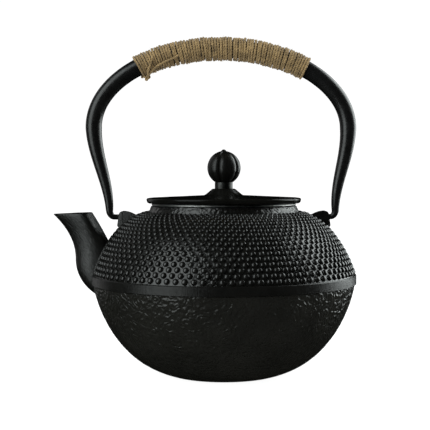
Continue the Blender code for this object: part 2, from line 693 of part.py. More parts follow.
def make_knob_ball():
    """A ball with lobes like a pumpkin's, flat underneath and bored for the stud."""
    mesh = bpy.data.meshes.new("knob_ball")
    shape = bmesh.new()
    bmesh.ops.create_uvsphere(shape, u_segments=8 * BALL_LOBES, v_segments=BALL_ROWS, radius=BALL_RADIUS)
    for vertex in shape.verts:
        azimuth = math.atan2(vertex.co.y, vertex.co.x)
        level = math.hypot(vertex.co.x, vertex.co.y) / BALL_RADIUS
        valley = (1.0 - abs(math.cos(azimuth * BALL_LOBES / 2))) ** 2
        vertex.co *= 1.0 - BALL_GROOVE * valley * level / BALL_RADIUS
        if vertex.co.z > 0.0:
            vertex.co.z += BALL_TIP * max(0.0, 1.0 - level / BALL_TIP_SPREAD)
        vertex.co.z += BALL_CENTRE
    shape.to_mesh(mesh)
    shape.free()
    ball = add_object("knob_ball", mesh, PARTS)
    foot = cylinder("ball_foot_cutter", 2 * BALL_RADIUS, BALL_BOTTOM - BALL_RADIUS, BALL_BOTTOM, 12, CUTTERS)
    bore_bottom = BALL_BOTTOM - BALL_RADIUS / 2
    bore_top = STUD_TOP + CLEARANCE
    bore = cylinder("ball_bore_cutter", BORE_RADIUS, bore_bottom, bore_top, HOLE_SIDES, CUTTERS)
    combine(ball, foot, "DIFFERENCE")
    combine(ball, bore, "DIFFERENCE")
    finish_part(ball, "cast_iron")
    return ball, foot, bore


def make_knob_stud():
    stud = cylinder("knob_stud", STUD_RADIUS, NUT_BOTTOM - STUD_BELOW_NUT, STUD_TOP, HOLE_SIDES, PARTS)
    finish_part(stud, "dull_steel")
    return stud


def make_knob_washer():
    outer = BORE_RADIUS + WASHER_WIDTH
    profile = [(BORE_RADIUS, WASHER_TOP), (outer, WASHER_TOP)]
    profile += [(outer, WASHER_BOTTOM), (BORE_RADIUS, WASHER_BOTTOM)]
    washer = turned("knob_washer", profile, SMALL_STEPS, PARTS, closed=True)
    finish_part(washer, "dull_steel")
    return washer


def make_knob_nut():
    nut = cylinder("knob_nut", BORE_RADIUS + NUT_WALL, NUT_BOTTOM, NUT_TOP, 6, PARTS)
    below = NUT_BOTTOM - NUT_HEIGHT
    above = NUT_TOP + NUT_HEIGHT
    bore = cylinder("nut_bore_cutter", BORE_RADIUS, below, above, HOLE_SIDES, CUTTERS)
    combine(nut, bore, "DIFFERENCE")
    finish_part(nut, "dull_steel")
    return nut, bore


def main():
    make_pot_body()
    bail_pivot = pivot_empty("bail_pivot", PIVOT_HEIGHT)
    carry(bail_pivot, make_bail_handle(), *make_grip_wrap())
    infuser_seat = pivot_empty("infuser_seat", RIM_BOTTOM)
    carry(infuser_seat, make_infuser_rim(), make_infuser_basket())
    lid_seat = pivot_empty("lid_seat", LID_BOTTOM)
    carry(lid_seat, *make_lid(), make_knob_collar(), *make_knob_ball(), make_knob_stud(), make_knob_washer(),
          *make_knob_nut())


clear_scene()
PARTS = new_collection("cast_iron_teapot")
CUTTERS = new_collection("cutters")
main()
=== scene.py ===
# %% [markdown]
# # A cast iron teapot, cell by cell
# A Japanese style iron teapot has one heavy casting for the pot and its spout, a second one for the lid,
# a bent steel handle with a binding of twine, and a steel infuser hanging in the neck. The bare shapes
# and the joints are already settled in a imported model. This script loads that model as a fixed frame and
# dresses it: every piece below is built where the frame says, and then rides on one of its bodies.

# %% The frame
import json
import math

import bmesh
import bpy
from mathutils import Matrix, Vector


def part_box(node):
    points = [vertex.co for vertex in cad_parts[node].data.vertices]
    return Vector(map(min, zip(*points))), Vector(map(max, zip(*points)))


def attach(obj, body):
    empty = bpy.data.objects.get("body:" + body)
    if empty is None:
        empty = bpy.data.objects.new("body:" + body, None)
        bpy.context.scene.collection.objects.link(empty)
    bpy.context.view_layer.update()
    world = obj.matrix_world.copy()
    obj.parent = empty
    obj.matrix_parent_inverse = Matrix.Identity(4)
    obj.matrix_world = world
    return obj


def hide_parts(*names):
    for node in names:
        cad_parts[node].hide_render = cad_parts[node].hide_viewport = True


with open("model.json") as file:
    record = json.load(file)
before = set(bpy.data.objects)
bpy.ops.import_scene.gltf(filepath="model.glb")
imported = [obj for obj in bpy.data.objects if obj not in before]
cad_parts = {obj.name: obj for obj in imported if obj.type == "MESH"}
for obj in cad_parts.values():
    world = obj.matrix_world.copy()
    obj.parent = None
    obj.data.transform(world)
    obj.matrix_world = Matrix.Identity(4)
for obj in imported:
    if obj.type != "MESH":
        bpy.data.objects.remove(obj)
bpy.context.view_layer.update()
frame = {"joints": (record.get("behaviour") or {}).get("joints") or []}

# %% [markdown]
# ## Sizes
# A dresser measures the mannequin before cutting cloth. Most sizes come straight from the boxes of the
# frame's nodes, so the looks follow the model if it changes. The few that no box can tell, such as the
# height of the band round the belly, are given here in millimetres.

# %% Sizes from the frame
MM = 0.001
pot_low, pot_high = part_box("pot_body")
rim_low, rim_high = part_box("infuser_rim")
basket_low, basket_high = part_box("infuser_basket")
lid_low, lid_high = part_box("lid")
collar_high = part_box("knob_collar")[1]
ball_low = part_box("knob_ball")[0]

BAND_RADIUS = pot_high.x
NECK_TOP = pot_high.z
SPOUT_REACH = -pot_low.x
PIVOT_HEIGHT = next(joint["pos_m"][2] for joint in frame["joints"] if joint["name"] == "bail_swing")
main_sizes = (BAND_RADIUS, NECK_TOP, PIVOT_HEIGHT)
print("band radius, neck top and pivot height, mm:", [round(size / MM, 1) for size in main_sizes])

# %% Sizes of the casting
WALL = 3.5 * MM
FLOOR = 4.0 * MM
BASE_RADIUS = 35.8 * MM
BAND_TOP = 63.3 * MM
BAND_BOTTOM = 57.3 * MM
BAND_STEP = 0.4 * MM  # how far the band stands proud
BOWL_RADIUS = BAND_RADIUS - BAND_STEP
BOWL_DROOP = 1.58  # the two powers that shape the bowl's outline
BOWL_FULLNESS = 2.98
LEDGE_RADIUS = BAND_RADIUS - 1.4 * MM
NECK_BASE = NECK_TOP - 4.1 * MM
NECK_BORE = 43.0 * MM
NECK_RADIUS = 46.2 * MM
NECK_BASE_RADIUS = 48.1 * MM
CASTING_EDGE = 0.5 * MM  # rounding on the edges of the neck

# %% [markdown]
# ## Curves and skins
# Nearly every piece here is either turned round the upright axis or drawn along a path. Two helpers cover
# both: one spins an outline with the Screw modifier, as a potter's wheel does, and one lays quads between
# rings of points. Their results are turned into plain meshes at once, so that nothing later depends on a
# live modifier.

# %% Curves
def between(start, end, share):
    return start + (end - start) * share


def cubic(start, pull_start, pull_end, end, share):
    """A point on a cubic curve in the plane."""
    rest = 1.0 - share
    weights = (rest**3, 3 * rest**2 * share, 3 * rest * share**2, share**3)
    corners = (start, pull_start, pull_end, end)
    return tuple(sum(w * corner[axis] for w, corner in zip(weights, corners)) for axis in range(2))


def softened(corners, steps=4):
    """A closed outline with rounded corners. Each corner is (across, up, rounding)."""
    outline = []
    for i, (across, up, rounding) in enumerate(corners):
        corner = Vector((across, up))
        if not rounding:
            outline.append((across, up))
            continue
        towards_last = (Vector(corners[i - 1][:2]) - corner).normalized()
        towards_next = (Vector(corners[(i + 1) % len(corners)][:2]) - corner).normalized()
        start = corner + towards_last * rounding
        end = corner + towards_next * rounding
        for k in range(steps + 1):
            share = k / steps
            point = start * (1 - share) ** 2 + corner * 2 * share * (1 - share) + end * share**2
            outline.append(tuple(point))
    return outline


def stepped(outline, spacing):
    """A closed outline with points added, so that no stretch is longer than the spacing."""
    result = []
    for i, start in enumerate(outline):
        end = outline[(i + 1) % len(outline)]
        count = max(1, math.ceil(math.dist(start, end) / spacing))
        for k in range(count):
            result.append((between(start[0], end[0], k / count), between(start[1], end[1], k / count)))
    return result


# %% Meshes
def add_piece(name, mesh):
    piece = bpy.data.objects.new(name, mesh)
    bpy.context.scene.collection.objects.link(piece)
    return piece


def face_outwards(mesh):
    shape = bmesh.new()
    shape.from_mesh(mesh)
    bmesh.ops.recalc_face_normals(shape, faces=shape.faces)
    shape.to_mesh(mesh)
    shape.free()


def made_plain(piece):
    """Whatever the modifiers make becomes the piece's own mesh."""
    graph = bpy.context.evaluated_depsgraph_get()
    mesh = bpy.data.meshes.new_from_object(piece.evaluated_get(graph))
    piece.modifiers.clear()
    piece.data = mesh
    return piece


def turned(name, outline, steps, looped=True):
    """A shape turned round the upright axis.
    A looped outline closes on itself, and any other starts and ends on the axis."""
    mesh = bpy.data.meshes.new(name)
    edges = [(i, i + 1) for i in range(len(outline) - 1)]
    if looped:
        edges.append((len(outline) - 1, 0))
    mesh.from_pydata([(radius, 0.0, height) for radius, height in outline], edges, [])
    piece = add_piece(name, mesh)
    screw = piece.modifiers.new("Wheel", "SCREW")
    screw.angle = math.tau
    screw.steps = steps
    screw.render_steps = steps
    screw.use_merge_vertices = True
    screw.merge_threshold = 0.001 * MM
    made_plain(piece)
    face_outwards(piece.data)
    return piece


def skinned(name, rings, looped=False):
    """Quads between rings of points. The two ends are capped, or joined to each other if it is looped."""
    sides = len(rings[0])
    points = [point for ring in rings for point in ring]
    faces = []
    for row in range(len(rings) if looped else len(rings) - 1):
        here = row * sides
        there = (row + 1) % len(rings) * sides
        for i in range(sides):
            after = (i + 1) % sides
            faces.append((here + i, here + after, there + after, there + i))
    if not looped:
        faces.append(tuple(range(sides)))
        faces.append(tuple(range(len(points) - sides, len(points))))
    mesh = bpy.data.meshes.new(name)
    mesh.from_pydata(points, [], faces)
    face_outwards(mesh)
    return add_piece(name, mesh)


def round_ring(radius, height, sides):
    """Points evenly round the upright axis."""
    turns = [math.tau * i / sides for i in range(sides)]
    return [(radius * math.cos(turn), radius * math.sin(turn), height) for turn in turns]


def drill(name, radius, depth, places, sides=32):
    """Cylinders to cut holes with. Each place is a matrix for the middle of one."""
    shape = bmesh.new()
    for place in places:
        bmesh.ops.create_cone(shape, cap_ends=True, segments=sides, radius1=radius, radius2=radius,
                              depth=depth, matrix=place)
    mesh = bpy.data.meshes.new(name)
    shape.to_mesh(mesh)
    shape.free()
    return add_piece(name, mesh)


def cut(piece, cutter, solver="EXACT"):
    """Takes the cutter's solid out of the piece, and throws the cutter away."""
    knife = piece.modifiers.new("Cut", "BOOLEAN")
    knife.operation = "DIFFERENCE"
    knife.solver = solver
    knife.object = cutter
    made_plain(piece)
    bpy.data.objects.remove(cutter, do_unlink=True)
    return piece


# %% [markdown]
# ## Node wiring
# Materials and Geometry Nodes are both graphs, and both get long when every node and link has a line of
# its own. One helper adds a node and fills its inputs: a socket is linked, and anything else is set as
# the input's value.

# %% Wiring helpers
def node(tree, kind, inputs=None, **settings):
    new = tree.nodes.new(kind)
    for key, value in settings.items():
        setattr(new, key, value)
    for key, value in (inputs or {}).items():
        if isinstance(value, bpy.types.NodeSocket):
            tree.links.new(value, new.inputs[key])
        else:
            new.inputs[key].default_value = value
    return new


def sums(tree, operation, *values):
    """A Math node's result."""
    return node(tree, "ShaderNodeMath", dict(enumerate(values)), operation=operation).outputs[0]


def vectors(tree, operation, *values):
    """A Vector Math node's vector."""
    return node(tree, "ShaderNodeVectorMath", dict(enumerate(values)), operation=operation).outputs[0]


def scaled(tree, vector, factor):
    inputs = {"Vector": vector, "Scale": factor}
    return node(tree, "ShaderNodeVectorMath", inputs, operation="SCALE").outputs[0]


def noise(tree, where, size, detail=2.0, roughness=0.5):
    """Cloudy noise whose blotches are about this size across, in metres."""
    inputs = {"Vector": where, "Scale": 1.0 / size, "Detail": detail, "Roughness": roughness}
    return node(tree, "ShaderNodeTexNoise", inputs).outputs[0]


def ripples(tree, where, spacing, bend):
    """Winding ridges, roughly this far apart. They are the contour lines of a slow noise, broken up by a
    quicker one. The bend says how many lines there are between its lowest and highest places."""
    if isinstance(spacing, bpy.types.NodeSocket):
        pace = sums(tree, "DIVIDE", 1.0, spacing)
    else:
        pace = 1.0 / spacing
    close = {"Vector": where, "Detail": 1.0, "Scale": pace}
    quick = node(tree, "ShaderNodeTexNoise", close).outputs[0]
    wide = {"Vector": scaled(tree, where, 0.36), "Detail": 0.5, "Scale": pace}
    slow = node(tree, "ShaderNodeTexNoise", wide).outputs[0]
    contour = sums(tree, "SINE", sums(tree, "MULTIPLY", sums(tree, "MULTIPLY", slow, bend), math.tau))
    return sums(tree, "ADD", sums(tree, "MULTIPLY", contour, 0.3), quick)


def ranged(tree, value, low, high, from_low=0.3, from_high=0.7):
    """A value spread over a new range. Noise mostly lies between 0.3 and 0.7."""
    inputs = {"Value": value, "From Min": from_low, "From Max": from_high, "To Min": low, "To Max": high}
    return node(tree, "ShaderNodeMapRange", inputs).outputs[0]


# %% [markdown]
# ## Black iron
# The pot is cast in sand, so its skin is never smooth, and it is then coated with a thin black enamel
# that is neither matt nor glossy. One function makes every iron finish on the pot. Bump gives the grain
# that is too fine to model, and the roughness wanders, which breaks highlights up the way a real casting
# does. The bigger relief, which shows in silhouette and shadow, is made in the mesh further down.

# %% Iron
def plain_material(name, metallic=0.0, specular=0.5):
    material = bpy.data.materials.new(name)
    material.use_nodes = True
    shader = material.node_tree.nodes["Principled BSDF"]
    shader.inputs["Metallic"].default_value = metallic
    shader.inputs["Specular IOR Level"].default_value = specular
    return material, material.node_tree, shader


def tinted(tree, value, dark, light):
    """A colour between two, by a value from 0 to 1."""
    ramp = node(tree, "ShaderNodeValToRGB", {"Fac": value})
    ramp.color_ramp.elements[0].color = (*dark, 1.0)
    ramp.color_ramp.elements[1].color = (*light, 1.0)
    return ramp.outputs["Color"]


def bumped(tree, shader, height, distance):
    inputs = {"Height": height, "Distance": distance, "Strength": 1.0}
    tree.links.new(node(tree, "ShaderNodeBump", inputs).outputs["Normal"], shader.inputs["Normal"])


def enamel(name, dark, light, gloss, grain, grain_height, stretch=1.0, slant=0.0, swirl=0.0, specular=0.5):
    """Enamelled iron. The gloss is the lowest and highest roughness, and the grain is the size of the finest
    relief, which is longer by the stretch along a direction that slants from upright. A swirl winds it."""
    material, tree, shader = plain_material(name, specular=specular)
    place = node(tree, "ShaderNodeTexCoord").outputs["Object"]
    inputs = {"Vector": place, "Scale": (1.0, 1.0, stretch), "Rotation": (0.0, slant, 0.0)}
    drawn = node(tree, "ShaderNodeMapping", inputs, vector_type="TEXTURE").outputs[0]
    blotch = ranged(tree, noise(tree, place, 18 * MM, 4.0), 0.0, 1.0)
    tree.links.new(tinted(tree, blotch, dark, light), shader.inputs["Base Color"])
    patches = noise(tree, place, 3 * MM, 3.0)
    tree.links.new(ranged(tree, patches, *gloss), shader.inputs["Roughness"])
    relief = ripples(tree, drawn, grain, swirl) if swirl else noise(tree, drawn, grain, 3.0, roughness=0.6)
    bumped(tree, shader, relief, grain_height)
    return material


SOOT = (0.0030, 0.0030, 0.0025)
IRON = (0.0064, 0.0065, 0.0056)
RIDGE = 1.75 * MM  # from one ridge of the bowl's relief to the next
SWIRL = 4.0
# The bowl's base colour is partly the enamel's own tone and partly painted light: it is lighter than the rest
# of the iron, standing in for light reflected up onto the bowl from below.
bowl_iron = enamel("bowl_iron", (0.0095, 0.0095, 0.0078), (0.0140, 0.0140, 0.0115), (0.26, 0.38), RIDGE,
                   0.36 * MM, swirl=SWIRL)
neck_iron = enamel("neck_iron", SOOT, IRON, (0.20, 0.32), 1.4 * MM, 0.14 * MM, swirl=SWIRL, specular=0.6)
band_iron = enamel("band_iron", SOOT, IRON, (0.28, 0.40), 0.8 * MM, 0.12 * MM, stretch=6.0, specular=0.32)
spout_iron = enamel("spout_iron", SOOT, IRON, (0.28, 0.40), 0.9 * MM, 0.30 * MM, stretch=7.0, slant=-0.8)
lid_iron = enamel("lid_iron", SOOT, IRON, (0.16, 0.24), 0.8 * MM, 0.03 * MM, specular=0.14)
knob_iron = enamel("knob_iron", SOOT, IRON, (0.28, 0.40), 0.9 * MM, 0.08 * MM, specular=0.4)
print("iron finishes:", [m.name for m in bpy.data.materials if m.name.endswith("_iron")])

# %% [markdown]
# ## Geometry Nodes for the skin of the casting
# Sand casting leaves a wavy, leathery relief of short curved ridges, a couple of millimetres long. A bump
# map would only fake it, so a small node tree pushes the points of the mesh in and out along their
# normals. Its ridges are the contour lines of a noise, and a named attribute says how much of the relief
# each point gets.

# %% Geometry Nodes helpers
SOCKETS = {float: "NodeSocketFloat", int: "NodeSocketInt", bpy.types.Object: "NodeSocketObject",
           bpy.types.Material: "NodeSocketMaterial"}


def new_tree(name, **inputs):
    """A node tree with a geometry in and out, and named inputs of the kinds given.
    Returns the tree and its input sockets."""
    tree = bpy.data.node_groups.new(name, "GeometryNodeTree")
    tree.interface.new_socket(name="Geometry", in_out="INPUT", socket_type="NodeSocketGeometry")
    tree.interface.new_socket(name="Geometry", in_out="OUTPUT", socket_type="NodeSocketGeometry")
    for label, kind in inputs.items():
        tree.interface.new_socket(name=label, in_out="INPUT", socket_type=SOCKETS[kind])
    entry = tree.nodes.new("NodeGroupInput")
    return tree, entry.outputs


def finish_tree(tree, geometry, material):
    """Ends a tree in Realize Instances and Set Material."""
    real = node(tree, "GeometryNodeRealizeInstances", {"Geometry": geometry}).outputs[0]
    coated = node(tree, "GeometryNodeSetMaterial", {"Geometry": real, "Material": material}).outputs[0]
    end = tree.nodes.new("NodeGroupOutput")
    tree.links.new(coated, end.inputs[0])


def attribute(tree, name, data_type="FLOAT"):
    reader = node(tree, "GeometryNodeInputNamedAttribute", {"Name": name}, data_type=data_type)
    return reader.outputs[0]


def add_tree(piece, tree, **values):
    """Puts a tree on a piece. A modifier stores its inputs under the sockets' identifiers."""
    modifier = piece.modifiers.new(tree.name, "NODES")
    modifier.node_group = tree
    for socket in tree.interface.items_tree:
        if socket.in_out == "INPUT" and socket.name in values:
            modifier[socket.identifier] = values[socket.name]


def mark(piece, name, values, kind="FLOAT"):
    """Stores one value for each point of a piece's mesh."""
    layer = piece.data.attributes.new(name, kind, "POINT")
    layer.data.foreach_set("value", list(values))


# %% The relief tree
def relief_tree():
    tree, given = new_tree("sand_cast_relief", ridge=float, depth=float, swirl=float,
                           material=bpy.types.Material)
    place = node(tree, "GeometryNodeInputPosition").outputs[0]
    ridges = ripples(tree, place, given["ridge"], given["swirl"])
    waves = noise(tree, place, 14 * MM, 1.0)
    height = sums(tree, "SUBTRACT", ridges, 0.5)
    height = sums(tree, "MULTIPLY", height, ranged(tree, waves, 0.55, 1.25))
    height = sums(tree, "MULTIPLY", height, given["depth"])
    height = sums(tree, "MULTIPLY", height, attribute(tree, "relief"))
    normal = node(tree, "GeometryNodeInputNormal").outputs[0]
    moved = node(tree, "GeometryNodeSetPosition", {"Geometry": given["Geometry"],
                                                   "Offset": scaled(tree, normal, height)}).outputs[0]
    finish_tree(tree, moved, given["material"])
    return tree


RELIEF = relief_tree()


def cast_in_sand(piece, share, ridge, depth, material):
    """Gives a piece its cast relief. share(point) says how much of the depth a point gets."""
    mark(piece, "relief", [share(vertex.co) for vertex in piece.data.vertices])
    add_tree(piece, RELIEF, ridge=ridge, depth=depth, swirl=SWIRL, material=material)
    made_plain(piece)
    piece.data.attributes.remove(piece.data.attributes["relief"])
    return piece


# %% Finishing a piece
pieces = []


def settle(piece, body, stands_for=(), crease=35.0):
    """Shades a finished piece, and hangs it on its body."""
    piece.data.shade_smooth()
    piece.data.set_sharp_from_angle(angle=math.radians(crease))
    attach(piece, body)
    if stands_for:
        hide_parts(*stands_for)
    piece.data.calc_loop_triangles()
    pieces.append(piece)
    print(f"{piece.name}: {len(piece.data.loop_triangles)} triangles, rides on {body}")
    return piece


# %% [markdown]
# ## The bowl
# Below the band the pot is a deep round bowl on a small flat base. It could be drawn as a lathe outline
# with a few dozen steps, but the relief needs a point about every millimetre, so the outline is a formula
# that can be sampled as finely as the ridges ask for. The inner wall has only a few rows, because it
# stays smooth and dark.

# %% Outline of the bowl
BOWL_COLUMNS = 744
BOWL_ROWS = 108
BOWL_SPAN = (1.0 - (BASE_RADIUS / BOWL_RADIUS) ** BOWL_FULLNESS) ** (1.0 / BOWL_DROOP)


def bowl_width(share):
    """The bowl's radius as a share of the belly's. The share runs from the belly (0) down to the base (1)."""
    return (1.0 - (share * BOWL_SPAN) ** BOWL_DROOP) ** (1.0 / BOWL_FULLNESS)


def bowl_line(radius, floor, top, count):
    """From the belly down to the edge of the base."""
    line = []
    for i in range(count):
        share = math.sin(math.pi / 2 * i / (count - 1))
        line.append((radius * bowl_width(share), between(top, floor, share)))
    return line


def evenly(line, count):
    """The same line with its points spread evenly along it."""
    lengths = [0.0]
    for start, end in zip(line, line[1:]):
        lengths.append(lengths[-1] + math.dist(start, end))
    result = []
    k = 0
    for i in range(count):
        target = lengths[-1] * i / (count - 1)
        while k < len(line) - 2 and lengths[k + 1] < target:
            k += 1
        share = (target - lengths[k]) / max(lengths[k + 1] - lengths[k], 1e-9)
        start = line[k]
        end = line[k + 1]
        result.append((between(start[0], end[0], share), between(start[1], end[1], share)))
    return result


# %% Bowl
def make_bowl():
    under_band = BAND_BOTTOM + 1.5 * MM
    outside = bowl_line(BOWL_RADIUS, 0.0, BAND_TOP, 400)
    outside = evenly([point for point in outside if point[1] < under_band], BOWL_ROWS)
    inside = bowl_line(BOWL_RADIUS - WALL, FLOOR, BAND_TOP - WALL, 60)
    inside = evenly([point for point in inside if point[1] < under_band], 10)
    base = [(BASE_RADIUS * share, 0.0) for share in (0.96, 0.8, 0.5, 0.2, 0.0)]
    floor = [(inside[-1][0] * share, FLOOR) for share in (0.0, 0.3, 0.7)]
    return turned("pot_bowl", outside + base + floor + inside[::-1], BOWL_COLUMNS)


def bowl_relief(point):
    """Full relief on the outside, fading out at the band and towards the base."""
    skin = BOWL_RADIUS * bowl_width((BAND_TOP - point.z) / BAND_TOP)
    inside = skin - math.hypot(point.x, point.y) > WALL / 2
    if inside or point.z < 0.2 * MM:
        return 0.0
    near_band = min(1.0, max(0.0, (BAND_BOTTOM - point.z) / (4 * MM)))
    near_base = min(1.0, point.z / (6 * MM))
    return near_band * near_base


bowl = make_bowl()
cast_in_sand(bowl, bowl_relief, ridge=RIDGE, depth=0.36 * MM, material=bowl_iron)
settle(bowl, "pot")

# %% [markdown]
# ## Band, shoulder and neck
# The upper half is one turned ring: a narrow raised band, a ledge, the sloping shoulder that carries the
# hobnails, and a low neck. The shoulder is a single cubic curve, the same one that the frame was built
# from. Only the neck gets strong relief here, because the hobnails cover the shoulder.

# %% Shoulder line
SHOULDER_LEAN = math.radians(17.2)
SHOULDER_RISE = 19.5 * MM
SHOULDER_REACH = 14.2 * MM


def shoulder_point(share):
    """A point of the shoulder's outline, from the neck (0) down to the ledge (1)."""
    ledge_pull = (LEDGE_RADIUS - SHOULDER_RISE * math.sin(SHOULDER_LEAN),
                  BAND_TOP + SHOULDER_RISE * math.cos(SHOULDER_LEAN))
    neck_pull = (NECK_BASE_RADIUS + SHOULDER_REACH, NECK_BASE)
    return cubic((NECK_BASE_RADIUS, NECK_BASE), neck_pull, ledge_pull, (LEDGE_RADIUS, BAND_TOP), share)


SHOULDER = [shoulder_point(i / 400) for i in range(401)]


def shoulder_radius(height):
    """Radius of the shoulder's surface at a height."""
    return min(SHOULDER, key=lambda point: abs(point[1] - height))[0]


def moved_in(line, distance):
    """A line that runs down the outside, moved square to itself into the wall."""
    result = []
    for i, (radius, height) in enumerate(line):
        before = line[max(i - 1, 0)]
        after = line[min(i + 1, len(line) - 1)]
        along = (after[0] - before[0], after[1] - before[1])
        length = math.hypot(*along)
        result.append((radius + distance * along[1] / length, height - distance * along[0] / length))
    return result


# %% Upper pot
UPPER_COLUMNS = 480


def make_upper():
    neck = [(NECK_BORE, NECK_TOP, CASTING_EDGE), (NECK_RADIUS, NECK_TOP, CASTING_EDGE)]
    for k in range(2, 10):
        radius = between(NECK_RADIUS, NECK_BASE_RADIUS, k / 10)
        neck.append((radius, between(NECK_TOP, NECK_BASE, k / 10), 0.0))
    shoulder = [(*point, 0.0) for point in evenly(SHOULDER, 42)]
    band = [(BOWL_RADIUS, BAND_TOP, 0.0), (BAND_RADIUS, BAND_TOP - BAND_STEP, 0.0),
            (BAND_RADIUS, BAND_BOTTOM + BAND_STEP, 0.0), (BOWL_RADIUS - BAND_STEP, BAND_BOTTOM, 0.0)]
    inner_foot = (BOWL_RADIUS - WALL + 0.2 * MM, BAND_BOTTOM, 0.0)
    inside = [(*point, 0.0) for point in moved_in(evenly(SHOULDER, 24), WALL)[::-1] if point[0] > NECK_BORE]
    outline = softened(neck + shoulder + band + [inner_foot] + inside + [(NECK_BORE, inside[-1][1], 0.0)])
    outline = [point for i, point in enumerate(outline) if math.dist(point, outline[i - 1]) > 0.01 * MM]
    return turned("pot_upper", stepped(outline, 1.6 * MM), UPPER_COLUMNS)


def upper_relief(point):
    radius = math.hypot(point.x, point.y)
    if radius < NECK_RADIUS - 1.2 * MM or point.z < BAND_TOP:
        return 0.0
    if point.z > NECK_BASE - 0.5 * MM:
        return 1.0
    return 0.3


upper = make_upper()

# %% [markdown]
# ## Strainer holes
# Seven holes through the wall behind the spout keep the leaves back: one in the middle and six around it.
# They are plain cylinders taken away with a Boolean, before the relief is added, while the wall is still
# smooth.

# %% Strainer
STRAINER_HEIGHT = 66.3 * MM
STRAINER_HOLE = 1.9 * MM
STRAINER_PITCH = 5.4 * MM


def make_strainer_pins():
    centres = [(0.0, STRAINER_HEIGHT)]
    for i in range(6):
        angle = math.tau * i / 6
        centres.append((STRAINER_PITCH * math.cos(angle), STRAINER_HEIGHT + STRAINER_PITCH * math.sin(angle)))
    level = Matrix.Rotation(math.pi / 2, 4, "Y")
    places = [Matrix.Translation((-BAND_RADIUS + WALL, across, height)) @ level for across, height in centres]
    return drill("strainer_pins", STRAINER_HOLE, 6 * WALL, places, 20)


cut(upper, make_strainer_pins())
cast_in_sand(upper, upper_relief, ridge=1.5 * MM, depth=0.30 * MM, material=neck_iron)
upper.data.materials.append(band_iron)
for face in upper.data.polygons:
    if face.center.z < BAND_TOP and math.hypot(face.center.x, face.center.y) > BOWL_RADIUS - BAND_STEP:
        face.material_index = 1
settle(upper, "pot", stands_for=["pot_body"])

# %% [markdown]
# ## The spout
# The spout is a curved tube of oval sections that narrows to a lip. Two curves in the plane of symmetry,
# one for its front edge and one for its back, carry a section between them at every step. Drawing the
# outer skin down and the inner skin back up, with a rounded lip between, gives the casting its real wall.
# The end inside the pot is trimmed off with a turned copy of the pot's hollow.

# %% Spout curves
SPOUT_TIP = (-SPOUT_REACH, NECK_TOP - 5.2 * MM)
SPOUT_BELLY = (-BAND_RADIUS - 10.7 * MM, BAND_TOP + 9.7 * MM)
SPOUT_ROOT = (-BAND_RADIUS + 4.3 * MM, BAND_TOP - 14.3 * MM)
SPOUT_CORNER = (SPOUT_TIP[0] + 24.7 * MM, SPOUT_TIP[1] + 0.9 * MM)
SPOUT_HEEL = (SPOUT_ROOT[0] + 14.0 * MM, SPOUT_ROOT[1])
SPOUT_WALL = 2.8 * MM
MOUTH_HALF_WIDTH = 7.6 * MM
ROOT_HALF_WIDTH = 12.6 * MM
BEAK = 0.62  # how far the mouth's front narrows to a lip, from 0 to 1
SPOUT_SQUARENESS = 0.78  # below 1, the back of every section is flatter than an oval


def shifted(point, across_mm, up_mm):
    return (point[0] + across_mm * MM, point[1] + up_mm * MM)


def spout_front(share):
    """The front edge, from the tip (0) past the belly to the root (1)."""
    if share < 0.5:
        return cubic(SPOUT_TIP, shifted(SPOUT_TIP, 8.6, -8.3), shifted(SPOUT_BELLY, 0.0, 11.0), SPOUT_BELLY,
                     share * 2)
    return cubic(SPOUT_BELLY, shifted(SPOUT_BELLY, 0.0, -10.0), shifted(SPOUT_ROOT, -10.0, 5.5), SPOUT_ROOT,
                 share * 2 - 1)


def spout_back(share):
    return cubic(SPOUT_CORNER, shifted(SPOUT_CORNER, 12.7, -20.4), shifted(SPOUT_HEEL, 2.0, 16.0), SPOUT_HEEL,
                 share)


def spout_ring(share, inset, lift=0.0, sides=96):
    front = spout_front(share)
    back = spout_back(share)
    length = math.dist(front, back)
    along = ((front[0] - back[0]) / length, (front[1] - back[1]) / length)
    middle = ((front[0] + back[0]) / 2, (front[1] + back[1]) / 2)
    half_length = length / 2 - inset
    half_width = between(MOUTH_HALF_WIDTH, ROOT_HALF_WIDTH, math.sqrt(share)) - inset
    beak = BEAK * (1.0 - share) ** 2
    ring = []
    for i in range(sides):
        angle = math.tau * i / sides
        forward = math.cos(angle)
        aside = math.sin(angle)
        if forward < 0.0:
            forward = -abs(forward) ** SPOUT_SQUARENESS
            aside = math.copysign(abs(aside) ** SPOUT_SQUARENESS, aside)
        reach = half_length * forward
        width = half_width * aside * (1.0 - beak * forward)
        ring.append((middle[0] + reach * along[0], width, middle[1] + reach * along[1] + lift))
    return ring


# %% Spout
SPOUT_RINGS = 84


def make_spout():
    outer = [spout_ring((i / SPOUT_RINGS) ** 1.3, 0.0) for i in range(SPOUT_RINGS + 1)]
    lip = []
    for i in range(1, 8):
        angle = math.pi * i / 8
        inset = SPOUT_WALL / 2 * (1.0 - math.cos(angle))
        lip.append(spout_ring(0.0, inset, 0.25 * MM * math.sin(angle)))
    inner = [spout_ring(i / 40, SPOUT_WALL) for i in range(41)]
    return skinned("pot_spout", outer[::-1] + lip + inner, looped=True)


def pot_hollow():
    """The space inside the pot, and part of its wall, as a solid to cut with."""
    depth = 0.6 * WALL
    roof = [point for point in moved_in(evenly(SHOULDER, 24), depth) if point[0] > NECK_BORE]
    hollow = bowl_line(BOWL_RADIUS - depth, FLOOR, BAND_TOP - WALL, 24)
    outline = [(0.0, NECK_TOP), (NECK_BORE, NECK_TOP)] + roof + hollow + [(0.0, FLOOR)]
    return turned("pot_hollow", outline, 64, looped=False)


spout = cut(make_spout(), pot_hollow())
cast_in_sand(spout, lambda point: 1.0, ridge=4.0 * MM, depth=0.05 * MM, material=spout_iron)
settle(spout, "pot")

# %% [markdown]
# ## The bead round the spout
# Where the spout leaves the shoulder, the mould maker drew a thin raised line round a smooth patch, and
# the hobnails stop at it. The line is an arch on the shoulder's surface, so each of its points takes its
# radius from the shoulder, and a small node tree lays a round bead along it.

